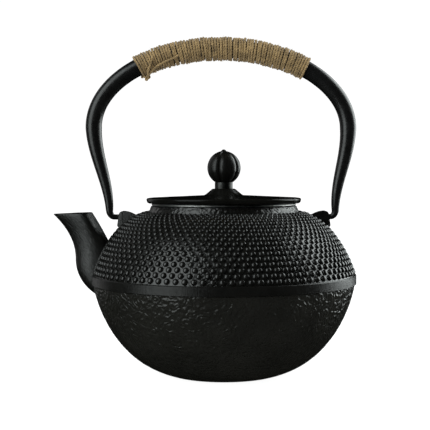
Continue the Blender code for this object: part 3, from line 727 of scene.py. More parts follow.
# %% Bead
BEAD_HALF_WIDTH = 13.2 * MM
BEAD_TOP = 87.0 * MM
BEAD_RADIUS = 1.0 * MM


def piping_tree():
    tree, given = new_tree("piping", radius=float, sides=int, material=bpy.types.Material)
    curve = node(tree, "GeometryNodeMeshToCurve", {"Mesh": given["Geometry"]}).outputs[0]
    circle = {"Resolution": given["sides"], 4: given["radius"]}
    ring = node(tree, "GeometryNodeCurvePrimitiveCircle", circle).outputs[0]
    sweep = {"Curve": curve, "Profile Curve": ring, "Fill Caps": True}
    tube = node(tree, "GeometryNodeCurveToMesh", sweep).outputs[0]
    finish_tree(tree, tube, given["material"])
    return tree


def make_bead():
    line = []
    for i in range(121):
        angle = math.pi * i / 120
        across = -BEAD_HALF_WIDTH * math.copysign(abs(math.cos(angle)) ** 0.35, math.cos(angle))
        height = between(BAND_TOP + 0.2 * MM, BEAD_TOP, math.sin(angle) ** 0.8)
        radius = shoulder_radius(height) + 0.3 * MM
        line.append((-math.sqrt(radius**2 - across**2), across, height))
    mesh = bpy.data.meshes.new("spout_bead")
    mesh.from_pydata(line, [(i, i + 1) for i in range(len(line) - 1)], [])
    bead = add_piece("spout_bead", mesh)
    add_tree(bead, piping_tree(), radius=BEAD_RADIUS, sides=12, material=spout_iron)
    return made_plain(bead)


settle(make_bead(), "pot", crease=60.0)

# %% [markdown]
# ## The lugs
# Two ears on the shoulder hold the ends of the handle. Each is a flat outline in the plane of the handle,
# given a thickness and a rounded edge, and drilled from outside. Geometry this plain needs no nodes: an
# outline extruded in bmesh and a Bevel modifier are how anyone would make it by hand.

# %% Lugs
LUG_FACE = 67.9 * MM
LUG_BACK = 55.4 * MM
LUG_TOP = PIVOT_HEIGHT + 3.8 * MM
LUG_FACE_HALF = 4.3 * MM  # half the width at the outer face, and at the back
LUG_BACK_HALF = 6.8 * MM
LUG_BORE = 2.0 * MM
LUG_BORE_END = 59.5 * MM


def lug_half(x):
    """Half the lug's width, at a distance from the middle of the pot."""
    return between(LUG_BACK_HALF, LUG_FACE_HALF, (x - LUG_BACK) / (LUG_FACE - LUG_BACK))


def make_lug(name, side):
    outline = softened([
        (LUG_BACK, LUG_TOP - 3.0 * MM, 1.0 * MM),
        (between(LUG_BACK, LUG_FACE, 0.5), LUG_TOP, 3.0 * MM),
        (LUG_FACE - 1.4 * MM, LUG_TOP, 2.4 * MM),
        (LUG_FACE, 94.0 * MM, 0.3 * MM),
        (LUG_FACE - WALL, 90.0 * MM, 0.3 * MM),
        (LUG_BACK, 95.0 * MM, 0.3 * MM),
    ], 6)
    lug = skinned(name, [[(side * x, way * lug_half(x), z) for x, z in outline] for way in (-1, 1)])
    rounding = lug.modifiers.new("Rounding", "BEVEL")
    rounding.width = 1.3 * MM
    rounding.segments = 5
    rounding.limit_method = "ANGLE"
    rounding.angle_limit = math.radians(50.0)
    made_plain(lug)
    middle = side * (LUG_BORE_END + LUG_FACE + WALL) / 2
    place = Matrix.Translation((middle, 0.0, PIVOT_HEIGHT)) @ Matrix.Rotation(math.pi / 2, 4, "Y")
    cut(lug, drill("lug_drill", LUG_BORE, LUG_FACE + WALL - LUG_BORE_END, [place]))
    lug.data.materials.clear()
    lug.data.materials.append(spout_iron)
    return lug


for lug_name, lug_side in (("pot_lug_left", -1), ("pot_lug_right", 1)):
    settle(make_lug(lug_name, lug_side), "pot")

# %% [markdown]
# ## Hobnails
# The shoulder is covered with rows of small iron studs, called arare, or hailstones. Every row has the
# same number of them, so they shrink towards the neck, and each row sits in the gaps of the one below.
# That is a rule and not a sculpture, so Geometry Nodes lay them out: a mark for each row is duplicated
# round the axis, and a stud is put on every point, stood on the surface by its normal. The tree leaves
# bare places for the lugs and the spout.

# %% Rows round the axis
def rows_tree():
    """Copies of one object in rows round the upright axis. Each point of the input marks a row."""
    tree, given = new_tree("rows_round_the_axis", copy=bpy.types.Object, seed=int, unevenness=float,
                           lug_gap=float, lug_foot=float, spout_gap=float, spout_foot=float,
                           spout_crown=float, material=bpy.types.Material)
    inputs = {"Geometry": given["Geometry"], "Amount": attribute(tree, "count", "INT")}
    copies = node(tree, "GeometryNodeDuplicateElements", inputs, domain="POINT")
    number = sums(tree, "ADD", copies.outputs["Duplicate Index"], attribute(tree, "stagger"))
    turn = sums(tree, "DIVIDE", number, attribute(tree, "count", "INT"))
    angle = sums(tree, "MULTIPLY", turn, math.tau)
    inputs = {"Geometry": copies.outputs[0], "Name": "angle", "Value": angle}
    stored = node(tree, "GeometryNodeStoreNamedAttribute", inputs).outputs[0]
    angle = attribute(tree, "angle")
    place = node(tree, "GeometryNodeInputPosition").outputs[0]
    inputs = {"Vector": place, "Angle": angle}
    turned_place = node(tree, "ShaderNodeVectorRotate", inputs, rotation_type="Z_AXIS").outputs[0]
    inputs = {"Geometry": stored, "Position": turned_place}
    spread = node(tree, "GeometryNodeSetPosition", inputs).outputs[0]

    parts = node(tree, "ShaderNodeSeparateXYZ", {"Vector": place}).outputs
    beside_lug = sums(tree, "LESS_THAN", sums(tree, "ABSOLUTE", parts["Y"]), given["lug_gap"])
    above_foot = sums(tree, "GREATER_THAN", parts["Z"], given["lug_foot"])
    at_lug = sums(tree, "MULTIPLY", beside_lug, above_foot)
    sideways = sums(tree, "DIVIDE", parts["Y"], given["spout_gap"])
    risen = sums(tree, "MAXIMUM", sums(tree, "SUBTRACT", parts["Z"], given["spout_foot"]), 0.0)
    upwards = sums(tree, "DIVIDE", risen, given["spout_crown"])
    reach = sums(tree, "ADD", sums(tree, "POWER", sums(tree, "ABSOLUTE", sideways), 2.0),
                 sums(tree, "POWER", upwards, 2.0))
    in_front = sums(tree, "LESS_THAN", parts["X"], 0.0)
    at_spout = sums(tree, "MULTIPLY", sums(tree, "LESS_THAN", reach, 1.0), in_front)
    bare = sums(tree, "GREATER_THAN", sums(tree, "ADD", at_lug, at_spout), 0.5)
    kept = node(tree, "GeometryNodeDeleteGeometry", {"Geometry": spread, "Selection": bare}).outputs[0]

    lean = attribute(tree, "lean")
    inputs = {"X": sums(tree, "COSINE", lean), "Z": sums(tree, "SINE", lean)}
    leant = node(tree, "ShaderNodeCombineXYZ", inputs).outputs[0]
    inputs = {"Vector": leant, "Angle": angle}
    normal = node(tree, "ShaderNodeVectorRotate", inputs, rotation_type="Z_AXIS").outputs[0]
    stood = node(tree, "FunctionNodeAlignRotationToVector", {"Vector": normal}, axis="Z").outputs[0]
    low = sums(tree, "SUBTRACT", 1.0, given["unevenness"])
    high = sums(tree, "ADD", 1.0, given["unevenness"])
    inputs = {2: low, 3: high, "Seed": given["seed"]}
    luck = node(tree, "FunctionNodeRandomValue", inputs, data_type="FLOAT").outputs[1]
    size = sums(tree, "MULTIPLY", attribute(tree, "size"), luck)
    shape = node(tree, "GeometryNodeObjectInfo", {"Object": given["copy"]}).outputs["Geometry"]
    inputs = {"Points": kept, "Instance": shape, "Rotation": stood, "Scale": size}
    placed = node(tree, "GeometryNodeInstanceOnPoints", inputs).outputs[0]
    finish_tree(tree, placed, given["material"])
    return tree


ROWS = rows_tree()


def row_marks(name, rows):
    """One point for each row: (radius, height, normal's lean, size, count, stagger)."""
    mesh = bpy.data.meshes.new(name)
    mesh.from_pydata([(row[0], 0.0, row[1]) for row in rows], [], [])
    marks = add_piece(name, mesh)
    mark(marks, "lean", [row[2] for row in rows])
    mark(marks, "size", [row[3] for row in rows])
    mark(marks, "count", [row[4] for row in rows], "INT")
    mark(marks, "stagger", [row[5] for row in rows])
    return marks


# %% One stud
STUD_SIDES = 10
STUD_OUTLINE = ((0.42, -0.06), (0.385, 0.05), (0.33, 0.16), (0.23, 0.245), (0.10, 0.28))


def make_stud():
    """A dome with a flat crown, a little narrower than 1, so a net of bare iron is left between studs."""
    stud = skinned("stud", [round_ring(radius, height, STUD_SIDES) for radius, height in STUD_OUTLINE])
    stud.data.shade_smooth()
    return stud


# %% Hobnails
STUDS_PER_ROW = 95
ROW_STEP = (0.635, 0.735)  # distance between rows in pitches, at the band and at the neck
STUD_SIZE = 0.92  # in pitches; the nearest neighbours, which are diagonal, stay clear of each other


def hobnail_rows():
    """Rows from the ledge up to the neck, each a little closer to the next than the one below."""
    lengths = [0.0]
    upwards = SHOULDER[::-1]
    for start, end in zip(upwards, upwards[1:]):
        lengths.append(lengths[-1] + math.dist(start, end))
    rows = []
    travelled = 2.1 * MM
    while True:
        k = next((k for k, length in enumerate(lengths) if length >= travelled), None)
        if k is None or k + 1 >= len(upwards) or upwards[k][0] < NECK_BASE_RADIUS + 1.2 * MM:
            break
        radius, height = upwards[k]
        rise = upwards[k + 1][1] - upwards[k - 1][1]
        run = upwards[k - 1][0] - upwards[k + 1][0]
        pitch = math.tau * radius / STUDS_PER_ROW
        size = STUD_SIZE * pitch
        rows.append((radius, height, math.atan2(run, rise), size, STUDS_PER_ROW, 0.5 * (len(rows) % 2)))
        travelled += between(*ROW_STEP, travelled / lengths[-1]) * pitch
    return rows


stud_finish, stud_nodes, stud_shader = plain_material("hobnail_iron", specular=0.65)
place = node(stud_nodes, "ShaderNodeTexCoord").outputs["Object"]
blotch = ranged(stud_nodes, noise(stud_nodes, place, 6 * MM, 3.0), 0.0, 1.0)
stud_nodes.links.new(tinted(stud_nodes, blotch, SOOT, (0.0070, 0.0071, 0.0062)),
                     stud_shader.inputs["Base Color"])
stud_nodes.links.new(ranged(stud_nodes, noise(stud_nodes, place, 2 * MM), 0.20, 0.32),
                     stud_shader.inputs["Roughness"])
bumped(stud_nodes, stud_shader, noise(stud_nodes, place, 0.5 * MM), 0.03 * MM)

rows = hobnail_rows()
hobnails = row_marks("pot_hobnails", rows)
stud = make_stud()
add_tree(hobnails, ROWS, copy=stud, seed=7, unevenness=0.04, lug_gap=7.4 * MM, lug_foot=92.5 * MM,
         spout_gap=16.0 * MM, spout_foot=72.0 * MM, spout_crown=17.0 * MM, material=stud_finish)
made_plain(hobnails)
bpy.data.objects.remove(stud, do_unlink=True)
settle(hobnails, "pot", crease=70.0)
widths = [round(2 * STUD_OUTLINE[0][0] * row[3] / MM, 2) for row in rows]
print(len(rows), "rows of hobnails, width from", widths[0], "to", widths[-1], "mm")

# %% [markdown]
# ## The lid
# The lid is a second casting: a nearly flat disc with a thick rounded rim, a small boss in the middle, a
# skirt underneath that keeps it from sliding off, and one vent hole. It is one outline turned on the
# wheel, with the corners rounded by the same helper as before.

# %% Lid
LID_BOTTOM = rim_high.z + 0.3 * MM
LID_RADIUS = lid_high.x
LID_RIM = 3.5 * MM
LID_TOP = LID_BOTTOM + LID_RIM + 1.7 * MM
BOSS_TOP = lid_high.z
BOSS_RADIUS = 7.2 * MM
BOSS_FOOT = 12.2 * MM
BORE = 2.3 * MM
SKIRT_OUTER = 39.6 * MM
SKIRT_INNER = 37.4 * MM
VENT = 1.5 * MM
VENT_OFFSET = 31.0 * MM


def make_lid():
    underside = LID_TOP - 2.8 * MM
    rim_top = LID_BOTTOM + LID_RIM
    lid = turned("lid_casting", stepped(softened([
        (BORE, BOSS_TOP, 0.2 * MM),
        (BOSS_RADIUS, BOSS_TOP, 0.7 * MM),
        (between(BOSS_RADIUS, BOSS_FOOT, 0.5), between(BOSS_TOP, LID_TOP, 0.52), 1.2 * MM),
        (BOSS_FOOT, LID_TOP, 0.9 * MM),
        (LID_RADIUS - 2.2 * MM, rim_top + 0.1 * MM, 0.8 * MM),
        (LID_RADIUS + 0.1 * MM, rim_top - 0.4 * MM, 1.0 * MM),
        (LID_RADIUS - 0.6 * MM, LID_BOTTOM, 1.6 * MM),
        (SKIRT_OUTER, LID_BOTTOM, 0.3 * MM),
        (SKIRT_OUTER, lid_low.z, 0.5 * MM),
        (SKIRT_INNER, lid_low.z, 0.5 * MM),
        (SKIRT_INNER, rim_top - 2.8 * MM, 0.5 * MM),
        (BOSS_FOOT, underside, 0.0),
        (BORE, underside, 0.0),
    ], 5), 1.1 * MM), 320)
    place = Matrix.Translation((0.0, VENT_OFFSET, LID_TOP))
    return cut(lid, drill("vent_drill", VENT, 20 * MM, [place]))


def lid_relief(point):
    radius = math.hypot(point.x, point.y)
    on_top = point.z > LID_TOP - 1.6 * MM
    return 1.0 if on_top and 3.5 * MM < radius < LID_RADIUS - 1.8 * MM else 0.0


lid = make_lid()
cast_in_sand(lid, lid_relief, ridge=2.4 * MM, depth=0.03 * MM, material=lid_iron)
settle(lid, "lid", stands_for=["lid"])

# %% [markdown]
# ## The knob
# The knob is a lobed iron ball, like a small pumpkin, with a tiny point on its crown. Five grooves run
# from the point down its sides. A ball in polar coordinates makes that easy: the radius is lowered
# wherever the angle comes close to a groove, and the crown is raised near the axis.

# %% Knob ball
BALL_RADIUS = 10.8 * MM
BALL_LOBES = 5
BALL_SIDES = 150
BALL_GROOVE = 1.3 * MM
BALL_TIP = 1.0 * MM
BALL_FOOT = collar_high.x - 0.3 * MM
BALL_BOTTOM = ball_low.z
BALL_CENTRE = BALL_BOTTOM + math.sqrt(BALL_RADIUS**2 - BALL_FOOT**2)
STUD_TOP = BALL_BOTTOM + 7.0 * MM


def ball_ring(polar):
    """One ring of the ball. The polar angle is zero at the crown."""
    level = math.sin(polar)
    ring = []
    for i in range(BALL_SIDES):
        azimuth = math.tau * i / BALL_SIDES
        valley = (1.0 - abs(math.cos(azimuth * BALL_LOBES / 2))) ** 3
        radius = BALL_RADIUS - BALL_GROOVE * valley * level**0.6
        crown = BALL_TIP * math.exp(-((level / 0.13) ** 4)) if polar < math.pi / 2 else 0.0
        ring.append((radius * level * math.cos(azimuth), radius * level * math.sin(azimuth),
                     BALL_CENTRE + radius * math.cos(polar) + crown))
    return ring


def make_ball():
    foot = math.pi - math.asin(BALL_FOOT / BALL_RADIUS)
    rings = [ball_ring(between(0.02, foot, i / 84)) for i in range(85)]
    bore_top = STUD_TOP + 0.3 * MM
    for radius, height in ((BALL_FOOT - 0.5 * MM, BALL_BOTTOM), (BORE, BALL_BOTTOM), (BORE, bore_top)):
        rings.append(round_ring(radius, height, BALL_SIDES))
    return skinned("knob_lobes", rings)


def ball_relief(point):
    return 1.0 if point.z > BALL_BOTTOM + 0.5 * MM else 0.0


ball = make_ball()
cast_in_sand(ball, ball_relief, ridge=3.0 * MM, depth=0.04 * MM, material=knob_iron)
settle(ball, "lid", stands_for=["knob_ball"], crease=50.0)

# %% [markdown]
# ## Fastening the knob
# A threaded stud holds the knob: it runs from inside the ball through a steel collar and the lid, down to
# a washer and a nut. The thread is a single ring outline whose radius rises and falls as it climbs, so a
# helix needs only a radius that depends on both the height and the angle.

# %% Steel finishes
def steel(name, colour, gloss, brushing=(1.0, 1.0, 1.0), brush_height=0.02 * MM):
    material, tree, shader = plain_material(name, metallic=1.0)
    place = node(tree, "ShaderNodeTexCoord").outputs["Object"]
    drawn = node(tree, "ShaderNodeMapping", {"Vector": place, "Scale": brushing}).outputs[0]
    stain = ranged(tree, noise(tree, place, 9 * MM, 4.0), 0.0, 1.0)
    darker = tuple(0.72 * part for part in colour)
    tree.links.new(tinted(tree, stain, darker, colour), shader.inputs["Base Color"])
    tree.links.new(ranged(tree, noise(tree, place, 2.2 * MM, 3.0), *gloss), shader.inputs["Roughness"])
    bumped(tree, shader, noise(tree, drawn, 0.5 * MM, 3.0), brush_height)
    return material


dull_steel = steel("dull_steel", (0.075, 0.075, 0.073), (0.34, 0.48), (1.0, 1.0, 5.0))
bright_steel = steel("stainless_steel", (0.55, 0.55, 0.54), (0.34, 0.46), (1.0, 1.0, 6.0), 0.008 * MM)


# %% Collar, stud, washer and nut
def make_collar():
    edge = 0.25 * MM
    bedding = 0.15 * MM  # it is lacquered in place, so no light shows over or under it
    top = BALL_BOTTOM + bedding
    bottom = BOSS_TOP - bedding
    outline = softened([(BORE, top, edge / 2), (collar_high.x, top, edge),
                        (collar_high.x, bottom, edge), (BORE, bottom, edge / 2)])
    return turned("knob_collar_ring", outline, 120)


def make_stud_thread():
    low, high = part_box("knob_stud")
    pitch = 0.8 * MM
    sides = 24
    steps = int((high.z - low.z) / (pitch / 6))
    rings = [round_ring(0.7 * high.x, low.z, sides)]
    for k in range(1, steps):
        height = between(low.z, high.z, k / steps)
        ring = []
        for i in range(sides):
            crest = abs((height / pitch - i / sides) % 1.0 - 0.5) * 2.0
            radius = high.x - 0.35 * MM * crest
            turn = math.tau * i / sides
            ring.append((radius * math.cos(turn), radius * math.sin(turn), height))
        rings.append(ring)
    rings.append(round_ring(0.7 * high.x, high.z, sides))
    return skinned("knob_thread", rings)


def make_washer():
    low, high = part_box("knob_washer")
    edge = 0.2 * MM
    outline = softened([(BORE, high.z, edge), (high.x, high.z, edge),
                        (high.x, low.z, edge), (BORE, low.z, edge)])
    return turned("knob_washer_ring", outline, 64)


def make_nut():
    """A hexagon with its corners chamfered: every ring is the smaller of a hexagon and a cone."""
    low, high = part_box("knob_nut")
    across = max(high.x, high.y)
    sides = 96
    rings = []
    for height, limit in ((low.z, 0.9), (low.z + 0.4 * MM, 1.0), (high.z - 0.4 * MM, 1.0), (high.z, 0.9)):
        ring = []
        for i in range(sides):
            angle = math.tau * i / sides
            flat = math.cos(math.pi / 6) / math.cos((angle + math.pi / 6) % (math.pi / 3) - math.pi / 6)
            radius = across * min(flat, limit)
            ring.append((radius * math.cos(angle), radius * math.sin(angle), height))
        rings.append(ring)
    rings += [round_ring(BORE, height, sides) for height in (high.z, low.z)]
    return skinned("knob_nut_hexagon", rings, looped=True)


for part, node_name in ((make_collar(), "knob_collar"), (make_stud_thread(), "knob_stud"),
                        (make_washer(), "knob_washer"), (make_nut(), "knob_nut")):
    part.data.materials.append(dull_steel)
    settle(part, "lid", stands_for=[node_name])

# %% [markdown]
# ## The infuser
# The infuser is pressed from thin stainless sheet: a flange that lies on the neck, and a deep cup punched
# with rows of fine holes. The holes are cut for real, so light comes through them. Thousands of tiny pins
# are placed by the same node tree that laid the hobnails, and one Boolean takes them all away at once.

# %% Infuser rim
RIM_BOTTOM = NECK_TOP + 0.3 * MM
COLLAR_OUTER = 42.3 * MM
COLLAR_INNER = 41.3 * MM


def make_infuser_rim():
    outline = softened([
        (COLLAR_INNER, rim_high.z, 0.4 * MM),
        (rim_high.x, rim_high.z, 0.45 * MM),
        (rim_high.x, RIM_BOTTOM, 0.45 * MM),
        (COLLAR_OUTER, RIM_BOTTOM, 0.2 * MM),
        (COLLAR_OUTER, rim_low.z, 0.2 * MM),
        (COLLAR_INNER, rim_low.z, 0.2 * MM),
    ])
    return turned("infuser_flange", outline, 256)


flange = make_infuser_rim()
flange.data.materials.append(bright_steel)
settle(flange, "infuser", stands_for=["infuser_rim"])

# %% Infuser cup
CUP_WALL = 0.6 * MM
CUP_CORNER = 5.0 * MM
CUP_RADIUS = basket_high.x
HOLES_PER_ROW = 108
HOLE_PITCH = math.tau * CUP_RADIUS / HOLES_PER_ROW


def make_cup():
    top = basket_high.z
    bottom = basket_low.z
    x = CUP_RADIUS - CUP_CORNER
    z = bottom + CUP_CORNER
    small = CUP_CORNER - CUP_WALL
    outer = []
    inner = []
    for i in range(9):
        angle = math.pi / 2 * i / 8
        outer.append((x + CUP_CORNER * math.cos(angle), z - CUP_CORNER * math.sin(angle)))
        inner.append((x + small * math.cos(angle), z - small * math.sin(angle)))
    rim = [(CUP_RADIUS - CUP_WALL, top), (CUP_RADIUS, top)]
    outline = [(0.0, bottom + CUP_WALL)] + inner[::-1] + rim + outer + [(0.0, bottom)]
    return turned("infuser_cup", outline, 216, looped=False)


def cup_holes():
    """Rows of holes in the wall, and rings of them in the floor."""
    holes = []
    height = basket_low.z + CUP_CORNER + 1.5 * MM
    while height < basket_high.z - 8.5 * MM:
        stagger = 0.5 * (len(holes) % 2)
        holes.append((CUP_RADIUS - CUP_WALL / 2, height, 0.0, HOLE_PITCH, HOLES_PER_ROW, stagger))
        height += 0.9 * HOLE_PITCH
    height = basket_low.z + CUP_WALL / 2
    for ring in range(1, 14):
        holes.append((ring * 1.1 * HOLE_PITCH, height, math.pi / 2, HOLE_PITCH, 6 * ring, 0.0))
    return holes


def make_pin():
    """A short pin of 8 sides, through the wall, for a pitch of 1."""
    return skinned("pin", [round_ring(0.24, height, 8) for height in (-0.4, 0.4)])


holes = cup_holes()
pins = row_marks("cup_pins", holes)
pin = make_pin()
add_tree(pins, ROWS, copy=pin, seed=3, unevenness=0.0, lug_gap=0.0, lug_foot=1.0, spout_gap=0.001 * MM,
         spout_foot=0.0, spout_crown=0.001 * MM, material=bright_steel)
made_plain(pins)
bpy.data.objects.remove(pin, do_unlink=True)
cup = cut(make_cup(), pins, "MANIFOLD")
cup.data.materials.clear()
cup.data.materials.append(bright_steel)
settle(cup, "infuser", stands_for=["infuser_basket"])
print(sum(row[4] for row in holes), "holes in the cup")

# %% [markdown]
# ## The handle
# The bail is a single steel rod, thickest over the top and drawn down to thin hooks whose ends turn into
# the lugs. A sweep with a radius of its own at every point makes it. Since the path lies in one plane,
# each ring needs only the direction along the path and the axis square to the plane, and nothing can
# twist.

# %% Path of the bail
BAIL_HALF_SPAN = 81.1 * MM
BAIL_TOP = PIVOT_HEIGHT + 107.0 * MM
BAIL_WIDEST = PIVOT_HEIGHT + 56.7 * MM
HOOK_RISE = 4.4 * MM
TOP_ROD = 5.7 * MM
SIDE_ROD = 5.2 * MM
FOOT_ROD = 2.35 * MM
PIN = 1.7 * MM
BAIL_SET = 0.8 * MM
BAIL_LEAN = 0.0165


def leaning(x, z):
    """The whole bail sits a little towards the spout, and leans that way."""
    return x - BAIL_SET - BAIL_LEAN * (z - PIVOT_HEIGHT)


def arch_point(angle):
    x = BAIL_HALF_SPAN * math.sin(angle)
    z = BAIL_WIDEST + (BAIL_TOP - BAIL_WIDEST) * math.cos(angle)
    return x, z, between(TOP_ROD, SIDE_ROD, math.sin(abs(angle)) ** 2)


def bail_half(arch_steps=70, leg_steps=60, hook_steps=16):
    points = [arch_point(math.pi / 2 * i / arch_steps) for i in range(arch_steps + 1)]
    foot = (LUG_FACE + 4.3 * MM, PIVOT_HEIGHT + HOOK_RISE)
    side = (BAIL_HALF_SPAN, BAIL_WIDEST)
    for i in range(1, leg_steps + 1):
        x, z = cubic(side, (side[0], side[1] - 18 * MM), (foot[0], foot[1] + 18 * MM), foot, i / leg_steps)
        points.append((x, z, between(FOOT_ROD, SIDE_ROD, ((z - foot[1]) / (side[1] - foot[1])) ** 0.85)))
    for i in range(1, hook_steps + 1):
        angle = math.pi / 2 * i / hook_steps
        x = between(LUG_FACE + 1.1 * MM, foot[0], math.cos(angle))
        points.append((x, foot[1] - HOOK_RISE * math.sin(angle), between(FOOT_ROD, PIN, i / hook_steps)))
    inner_end = LUG_FACE - 7.4 * MM
    points.append((between(points[-1][0], inner_end, 0.5), PIVOT_HEIGHT, PIN))
    points.append((inner_end + 0.3 * MM, PIVOT_HEIGHT, PIN))
    points.append((inner_end, PIVOT_HEIGHT, PIN - 0.3 * MM))
    return points


# %% Bail
def swept(name, points, sides):
    """A round rod along points (x, z, radius) in the plane of the handle."""
    rings = []
    for i, (x, z, radius) in enumerate(points):
        before = points[max(i - 1, 0)]
        after = points[min(i + 1, len(points) - 1)]
        along = Vector((after[0] - before[0], after[1] - before[1])).normalized()
        ring = []
        for k in range(sides):
            angle = math.tau * k / sides
            out = radius * math.cos(angle)
            ring.append((x + out * along.y, radius * math.sin(angle), z - out * along.x))
        rings.append(ring)
    return skinned(name, rings)


bail_points = [(leaning(x, z), z, radius) for x, z, radius in bail_half()]
mirrored = [(leaning(-x, z), z, radius) for x, z, radius in bail_half()[1:]]
bail = swept("bail_rod", mirrored[::-1] + bail_points, 40)

black_steel, bail_nodes, bail_shader = plain_material("black_steel", specular=0.55)
place = node(bail_nodes, "ShaderNodeTexCoord").outputs["Object"]
blotch = ranged(bail_nodes, noise(bail_nodes, place, 12 * MM, 3.0), 0.0, 1.0)
bail_nodes.links.new(tinted(bail_nodes, blotch, (0.0035, 0.0035, 0.0035), (0.0065, 0.0066, 0.0064)),
                     bail_shader.inputs["Base Color"])
bail_nodes.links.new(ranged(bail_nodes, noise(bail_nodes, place, 3 * MM, 3.0), 0.25, 0.36),
                     bail_shader.inputs["Roughness"])
bumped(bail_nodes, bail_shader, noise(bail_nodes, place, 1.1 * MM, 3.0), 0.05 * MM)
bail.data.materials.append(black_steel)
settle(bail, "bail", stands_for=["bail_handle"])

# %% [markdown]
# ## The twine
# The grip is bound with hemp twine, one turn beside the next. Two small trees do it. The first winds a
# guide curve into a coil round the rod. The second spins the coil into yarn: it makes two plies that
# twist round each other, gives them a wandering thickness, and stores where each point lies on its ply,
# so the material can draw fibres along the yarn instead of along some axis of the room.

# %% The winding tree
def winding_tree():
    """Winds a guide curve in the plane of the handle into a coil. No turns leaves the guide as it is."""
    tree, given = new_tree("winding", turns=float, points=int, lift=float, unevenness=float,
                           material=bpy.types.Material)
    curve = node(tree, "GeometryNodeMeshToCurve", {"Mesh": given["Geometry"]}).outputs[0]
    even = node(tree, "GeometryNodeResampleCurve", {"Curve": curve, "Count": given["points"]}).outputs[0]
    along = node(tree, "GeometryNodeSplineParameter").outputs["Factor"]
    tangent = node(tree, "GeometryNodeInputTangent").outputs[0]
    sideways = node(tree, "ShaderNodeCombineXYZ", {"Y": 1.0}).outputs[0]
    outwards = vectors(tree, "CROSS_PRODUCT", sideways, tangent)
    angle = sums(tree, "MULTIPLY", sums(tree, "MULTIPLY", along, given["turns"]), math.tau)
    across = scaled(tree, outwards, sums(tree, "COSINE", angle))
    across = vectors(tree, "ADD", across, scaled(tree, sideways, sums(tree, "SINE", angle)))
    wobble = node(tree, "ShaderNodeTexNoise", {"W": sums(tree, "MULTIPLY", along, 85.0), "Scale": 1.0},
                  noise_dimensions="1D").outputs[0]
    wobble = sums(tree, "MULTIPLY", sums(tree, "SUBTRACT", wobble, 0.5), given["unevenness"])
    reach = sums(tree, "ADD", sums(tree, "ADD", attribute(tree, "rod_radius"), given["lift"]), wobble)
    slip = node(tree, "ShaderNodeTexNoise", {"W": sums(tree, "MULTIPLY", along, 60.0), "Scale": 1.0},
                noise_dimensions="1D").outputs[0]
    slip = sums(tree, "MULTIPLY", sums(tree, "SUBTRACT", slip, 0.5),
                sums(tree, "MULTIPLY", given["unevenness"], 0.9))
    slip = scaled(tree, tangent, slip)
    offset = vectors(tree, "ADD", scaled(tree, across, reach), slip)
    wound = node(tree, "GeometryNodeSetPosition", {"Geometry": even, "Offset": offset}).outputs[0]
    finish_tree(tree, wound, given["material"])
    return tree


# %% The spinning tree
def spinning_tree():
    """Spins a curve into yarn of two plies."""
    tree, given = new_tree("spinning", ply=float, pitch=float, spacing=float, seed=int,
                           material=bpy.types.Material)
    inputs = {"Curve": given["Geometry"], "Length": given["spacing"]}
    even = node(tree, "GeometryNodeResampleCurve", inputs, mode="LENGTH").outputs[0]
    seat = node(tree, "GeometryNodeSplineParameter").outputs
    inputs = {"Geometry": even, "Name": "along", "Value": seat["Length"]}
    along = node(tree, "GeometryNodeStoreNamedAttribute", inputs).outputs[0]
    plies = node(tree, "GeometryNodeDuplicateElements", {"Geometry": along, "Amount": 2}, domain="SPLINE")
    which = sums(tree, "MULTIPLY", plies.outputs["Duplicate Index"], math.pi)
    inputs = {"Geometry": plies.outputs[0], "Name": "ply", "Value": which}
    numbered = node(tree, "GeometryNodeStoreNamedAttribute", inputs).outputs[0]
    length = attribute(tree, "along")
    angle = sums(tree, "ADD", sums(tree, "MULTIPLY", sums(tree, "DIVIDE", length, given["pitch"]), math.tau),
                 attribute(tree, "ply"))
    tangent = node(tree, "GeometryNodeInputTangent").outputs[0]
    normal = node(tree, "GeometryNodeInputNormal").outputs[0]
    second = vectors(tree, "CROSS_PRODUCT", tangent, normal)
    across = vectors(tree, "ADD", scaled(tree, normal, sums(tree, "COSINE", angle)),
                     scaled(tree, second, sums(tree, "SINE", angle)))
    offset = scaled(tree, across, sums(tree, "MULTIPLY", given["ply"], 0.62))
    twisted = node(tree, "GeometryNodeSetPosition", {"Geometry": numbered, "Offset": offset}).outputs[0]
    shift = sums(tree, "ADD", sums(tree, "MULTIPLY", length, 420.0),
                 sums(tree, "ADD", attribute(tree, "ply"), given["seed"]))
    swell = node(tree, "ShaderNodeTexNoise", {"W": shift, "Scale": 1.0}, noise_dimensions="1D").outputs[0]
    thick = sums(tree, "MULTIPLY", given["ply"], ranged(tree, swell, 0.74, 1.24))
    sized = node(tree, "GeometryNodeSetCurveRadius", {"Curve": twisted, "Radius": thick}).outputs[0]
    ring = node(tree, "GeometryNodeCurvePrimitiveCircle", {"Resolution": 7, "Radius": 1.0}).outputs[0]
    around = node(tree, "GeometryNodeSplineParameter").outputs["Factor"]
    inputs = {"Geometry": ring, "Name": "around", "Value": around}
    ringed = node(tree, "GeometryNodeStoreNamedAttribute", inputs).outputs[0]
    inputs = {"Curve": sized, "Profile Curve": ringed, "Scale": thick, "Fill Caps": True}
    yarn = node(tree, "GeometryNodeCurveToMesh", inputs).outputs[0]
    turn = sums(tree, "MULTIPLY", attribute(tree, "around"), math.tau)
    fibre = node(tree, "ShaderNodeCombineXYZ", {
        "X": sums(tree, "MULTIPLY", sums(tree, "COSINE", turn), given["ply"]),
        "Y": sums(tree, "MULTIPLY", sums(tree, "SINE", turn), given["ply"]),
        "Z": sums(tree, "ADD", attribute(tree, "along"), attribute(tree, "ply"))}).outputs[0]
    inputs = {"Geometry": yarn, "Name": "fibre", "Value": fibre}
    stored = node(tree, "GeometryNodeStoreNamedAttribute", inputs, data_type="FLOAT_VECTOR").outputs[0]
    smooth = node(tree, "GeometryNodeSetShadeSmooth", {"Geometry": stored}).outputs[0]
    finish_tree(tree, smooth, given["material"])
    return tree


WINDING = winding_tree()
SPINNING = spinning_tree()

